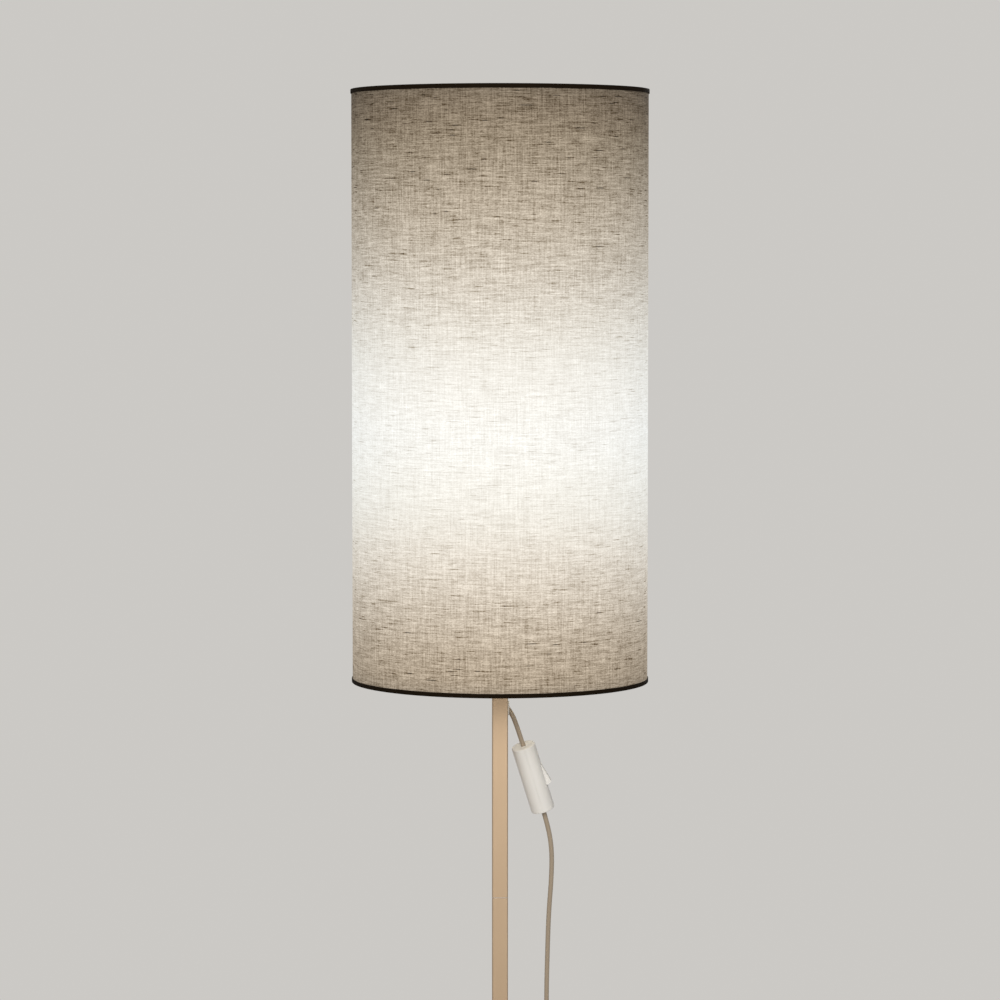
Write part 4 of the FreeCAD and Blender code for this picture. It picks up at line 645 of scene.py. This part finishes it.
# ---------------------------------------------------------------- shade linen
def make_linen():
    """One strip of linen rolled into the drum, lapped over itself at the back."""
    points_around = 401
    points_up = 30
    lap = 0.012
    cloth_thickness = 0.00022
    lap_step = 0.00025
    tree, sizes, out = geometry_tree(
        "rolled_linen",
        [
            ("Radius", "NodeSocketFloat"),
            ("Height", "NodeSocketFloat"),
            ("Bottom", "NodeSocketFloat"),
            ("Lap", "NodeSocketFloat"),
            ("Thickness", "NodeSocketFloat"),
        ],
    )
    girth = maths(tree, "MULTIPLY", sizes["Radius"], 2 * math.pi)
    width = maths(tree, "ADD", girth, sizes["Lap"])
    strip = add(
        tree, "GeometryNodeMeshGrid", Size_X=width, Size_Y=sizes["Height"], Vertices_X=points_around,
        Vertices_Y=points_up
    )
    place = add(tree, "ShaderNodeSeparateXYZ", Vector=add(tree, "GeometryNodeInputPosition").outputs[0])
    along = maths(tree, "ADD", place.outputs["X"], maths(tree, "MULTIPLY", width, 0.5))
    up = maths(tree, "ADD", place.outputs["Y"], maths(tree, "MULTIPLY", sizes["Height"], 0.5))
    cloth = add(tree, "ShaderNodeCombineXYZ", X=along, Y=up)
    marked = add(
        tree, "GeometryNodeStoreNamedAttribute", {"data_type": "FLOAT_VECTOR", "domain": "POINT"},
        Geometry=strip.outputs["Mesh"], Name="cloth", Value=cloth.outputs[0]
    )
    keep = add(tree, "GeometryNodeInputNamedAttribute", {"data_type": "FLOAT_VECTOR"}, Name="cloth")
    parts = add(tree, "ShaderNodeSeparateXYZ", Vector=keep.outputs[0])
    angle = maths(tree, "DIVIDE", parts.outputs["X"], sizes["Radius"])
    lap_ends = maths(tree, "MULTIPLY", sizes["Lap"], 2.5)
    under = stretch(tree, parts.outputs["X"], sizes["Lap"], lap_ends, 1.0, 0.0)
    radius = maths(tree, "SUBTRACT", sizes["Radius"], maths(tree, "MULTIPLY", under, sizes["Thickness"]))
    x = maths(tree, "MULTIPLY", radius, maths(tree, "SINE", angle))
    y = maths(tree, "MULTIPLY", radius, maths(tree, "COSINE", angle))
    z = maths(tree, "ADD", parts.outputs["Y"], sizes["Bottom"])
    rolled = add(
        tree, "GeometryNodeSetPosition", Geometry=marked.outputs[0],
        Position=add(tree, "ShaderNodeCombineXYZ", X=x, Y=y, Z=z).outputs[0]
    )
    finish_tree(tree, rolled.outputs[0], out, finishes["linen"])

    def thicken(seed):
        wall = seed.modifiers.new("thickness", "SOLIDIFY")
        wall.thickness = cloth_thickness
        wall.offset = 1.0

    linen = grown(
        "linen_cover",
        tree,
        {"Radius": SHADE_RADIUS, "Height": SHADE_HEIGHT - 0.002, "Bottom": SHADE_BOTTOM + 0.001, "Lap": lap,
         "Thickness": lap_step},
        thicken,
    )
    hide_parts("shade_linen")


# ---------------------------------------------------------------- shade trims
def make_trim(name, node, edge, upward):
    """A binding folded over the drum's edge, swept round it."""
    outer = TRIM_RADIUS
    inner = TRIM_INNER_RADIUS
    wall = 0.001
    outer_leg = 0.0046
    inner_leg = 0.0024
    corners = [
        (inner, 0.0006), (inner + 0.0003, 0.00015), (inner + 0.0010, 0.0), (outer - 0.0010, 0.0),
        (outer - 0.0003, 0.00015), (outer, 0.0006), (outer, outer_leg), (outer - 0.0002, outer_leg + 0.0004),
        (outer - 0.0005, outer_leg + 0.0006), (outer - 0.0008, outer_leg + 0.0004), (outer - wall, outer_leg),
        (outer - wall, wall), (inner + wall, wall), (inner + wall, inner_leg),
        (inner + wall * 0.7, inner_leg + 0.0004), (inner + wall * 0.3, inner_leg + 0.0004), (inner, inner_leg),
    ]
    rim = range(6, 11)
    steps = 300
    row_spacing = 0.0006
    mesh = bpy.data.meshes.new(name)
    shape = bmesh.new()
    cloth = shape.verts.layers.float_vector.new("cloth")
    rings = []
    for step in range(steps):
        angle = 2 * math.pi * step / steps
        ripple = 0.00006 * math.sin(17 * angle) + 0.00004 * math.sin(41 * angle + 1.0)
        ring = []
        for number, (radius, rise) in enumerate(corners):
            lift = ripple if number in rim else 0.0
            vertex = shape.verts.new((
                radius * math.sin(angle), radius * math.cos(angle), edge + upward * (rise + lift)
            ))
            vertex[cloth] = (angle * SHADE_RADIUS, rise + number * row_spacing, 0.0)
            ring.append(vertex)
        rings.append(ring)
    for step in range(steps):
        here = rings[step]
        there = rings[(step + 1) % steps]
        for number in range(len(corners)):
            following = (number + 1) % len(corners)
            shape.faces.new((here[number], here[following], there[following], there[number]))
    bmesh.ops.recalc_face_normals(shape, faces=shape.faces[:])
    for face in shape.faces:
        face.smooth = True
    shape.to_mesh(mesh)
    shape.free()
    mesh.materials.append(finishes["trim_brown"])
    piece = bpy.data.objects.new(name, mesh)
    bpy.context.scene.collection.objects.link(piece)
    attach(piece, "lamp")
    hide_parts(node)


make_linen()
make_trim("lower_binding", "shade_bottom_trim", SHADE_BOTTOM, 1)
make_trim("upper_binding", "shade_top_trim", SHADE_BOTTOM + SHADE_HEIGHT, -1)


# ---------------------------------------------------------------- floor, background and light
def make_floor():
    """Pale floor that fades into the background, so that it keeps only the lamp's shadow."""
    floor_radius = 1.3
    fade_start = 0.45
    fade_end = 1.25
    mesh = bpy.data.meshes.new("floor")
    shape = bmesh.new()
    bmesh.ops.create_circle(shape, cap_ends=True, segments=96, radius=floor_radius)
    shape.to_mesh(mesh)
    shape.free()
    floor = bpy.data.objects.new("floor", mesh)
    bpy.context.scene.collection.objects.link(floor)
    floor.location.z = -0.0005
    material, tree, shader = empty_material("pale_floor")
    shader.inputs["Base Color"].default_value = (0.66, 0.645, 0.62, 1.0)
    shader.inputs["Roughness"].default_value = 0.7
    place = add(tree, "ShaderNodeTexCoord").outputs["Object"]
    reach = add(tree, "ShaderNodeVectorMath", {"operation": "LENGTH"})
    tree.links.new(place, reach.inputs[0])
    clear = tree.nodes.new("ShaderNodeBsdfTransparent")
    fade = tree.nodes.new("ShaderNodeMixShader")
    tree.links.new(stretch(tree, reach.outputs["Value"], fade_start, fade_end, 0.0, 1.0), fade.inputs[0])
    tree.links.new(shader.outputs[0], fade.inputs[1])
    tree.links.new(clear.outputs[0], fade.inputs[2])
    out = next(node for node in tree.nodes if node.type == "OUTPUT_MATERIAL")
    tree.links.new(fade.outputs[0], out.inputs["Surface"])
    mesh.materials.append(material)


def make_world():
    """Pale background for the camera, and a soft even light on the object."""
    world = bpy.data.worlds.new("studio")
    bpy.context.scene.world = world
    world.use_nodes = True
    tree = world.node_tree
    tree.nodes.clear()
    seen = add(tree, "ShaderNodeBackground", Color=(0.60, 0.585, 0.56, 1.0), Strength=1.0)
    light = add(tree, "ShaderNodeBackground", Color=(1.0, 0.985, 0.96, 1.0), Strength=0.20)
    path = tree.nodes.new("ShaderNodeLightPath")
    direct = maths(tree, "MAXIMUM", path.outputs["Is Camera Ray"], path.outputs["Is Transmission Ray"])
    shown = maths(tree, "MAXIMUM", direct, path.outputs["Is Glossy Ray"])
    mix = tree.nodes.new("ShaderNodeMixShader")
    tree.links.new(shown, mix.inputs[0])
    tree.links.new(light.outputs[0], mix.inputs[1])
    tree.links.new(seen.outputs[0], mix.inputs[2])
    out = tree.nodes.new("ShaderNodeOutputWorld")
    tree.links.new(mix.outputs[0], out.inputs["Surface"])


def area_light(name, place, aim, size, power, colour):
    """A large soft lamp."""
    data = bpy.data.lights.new(name, "AREA")
    data.shape = "DISK"
    data.size = size
    data.energy = power
    data.color = colour
    lamp = bpy.data.objects.new(name, data)
    bpy.context.scene.collection.objects.link(lamp)
    lamp.location = place
    lamp.rotation_euler = (Vector(aim) - Vector(place)).to_track_quat("-Z", "Y").to_euler()


def bulb_light():
    """The lamp's own light, a soft ball round the opal dome."""
    data = bpy.data.lights.new("bulb_light", "POINT")
    data.energy = 1.3
    data.color = (1.0, 0.92, 0.82)
    data.shadow_soft_size = 0.034
    lamp = bpy.data.objects.new("bulb_light", data)
    bpy.context.scene.collection.objects.link(lamp)
    lamp.location = BULB_CENTRE
    lamp.visible_camera = False


make_floor()
make_world()
area_light("key", (-0.9, -4.4, 2.3), (0.0, 0.0, 0.9), 1.8, 120.0, (1.0, 0.975, 0.94))
area_light("fill", (1.2, -4.2, 1.5), (0.0, 0.0, 0.8), 2.0, 55.0, (1.0, 0.98, 0.96))
area_light("back", (0.6, 3.6, 2.4), (0.0, 0.0, 0.8), 2.4, 60.0, (1.0, 0.985, 0.96))
bulb_light()
bpy.context.scene.view_settings.view_transform = "Standard"
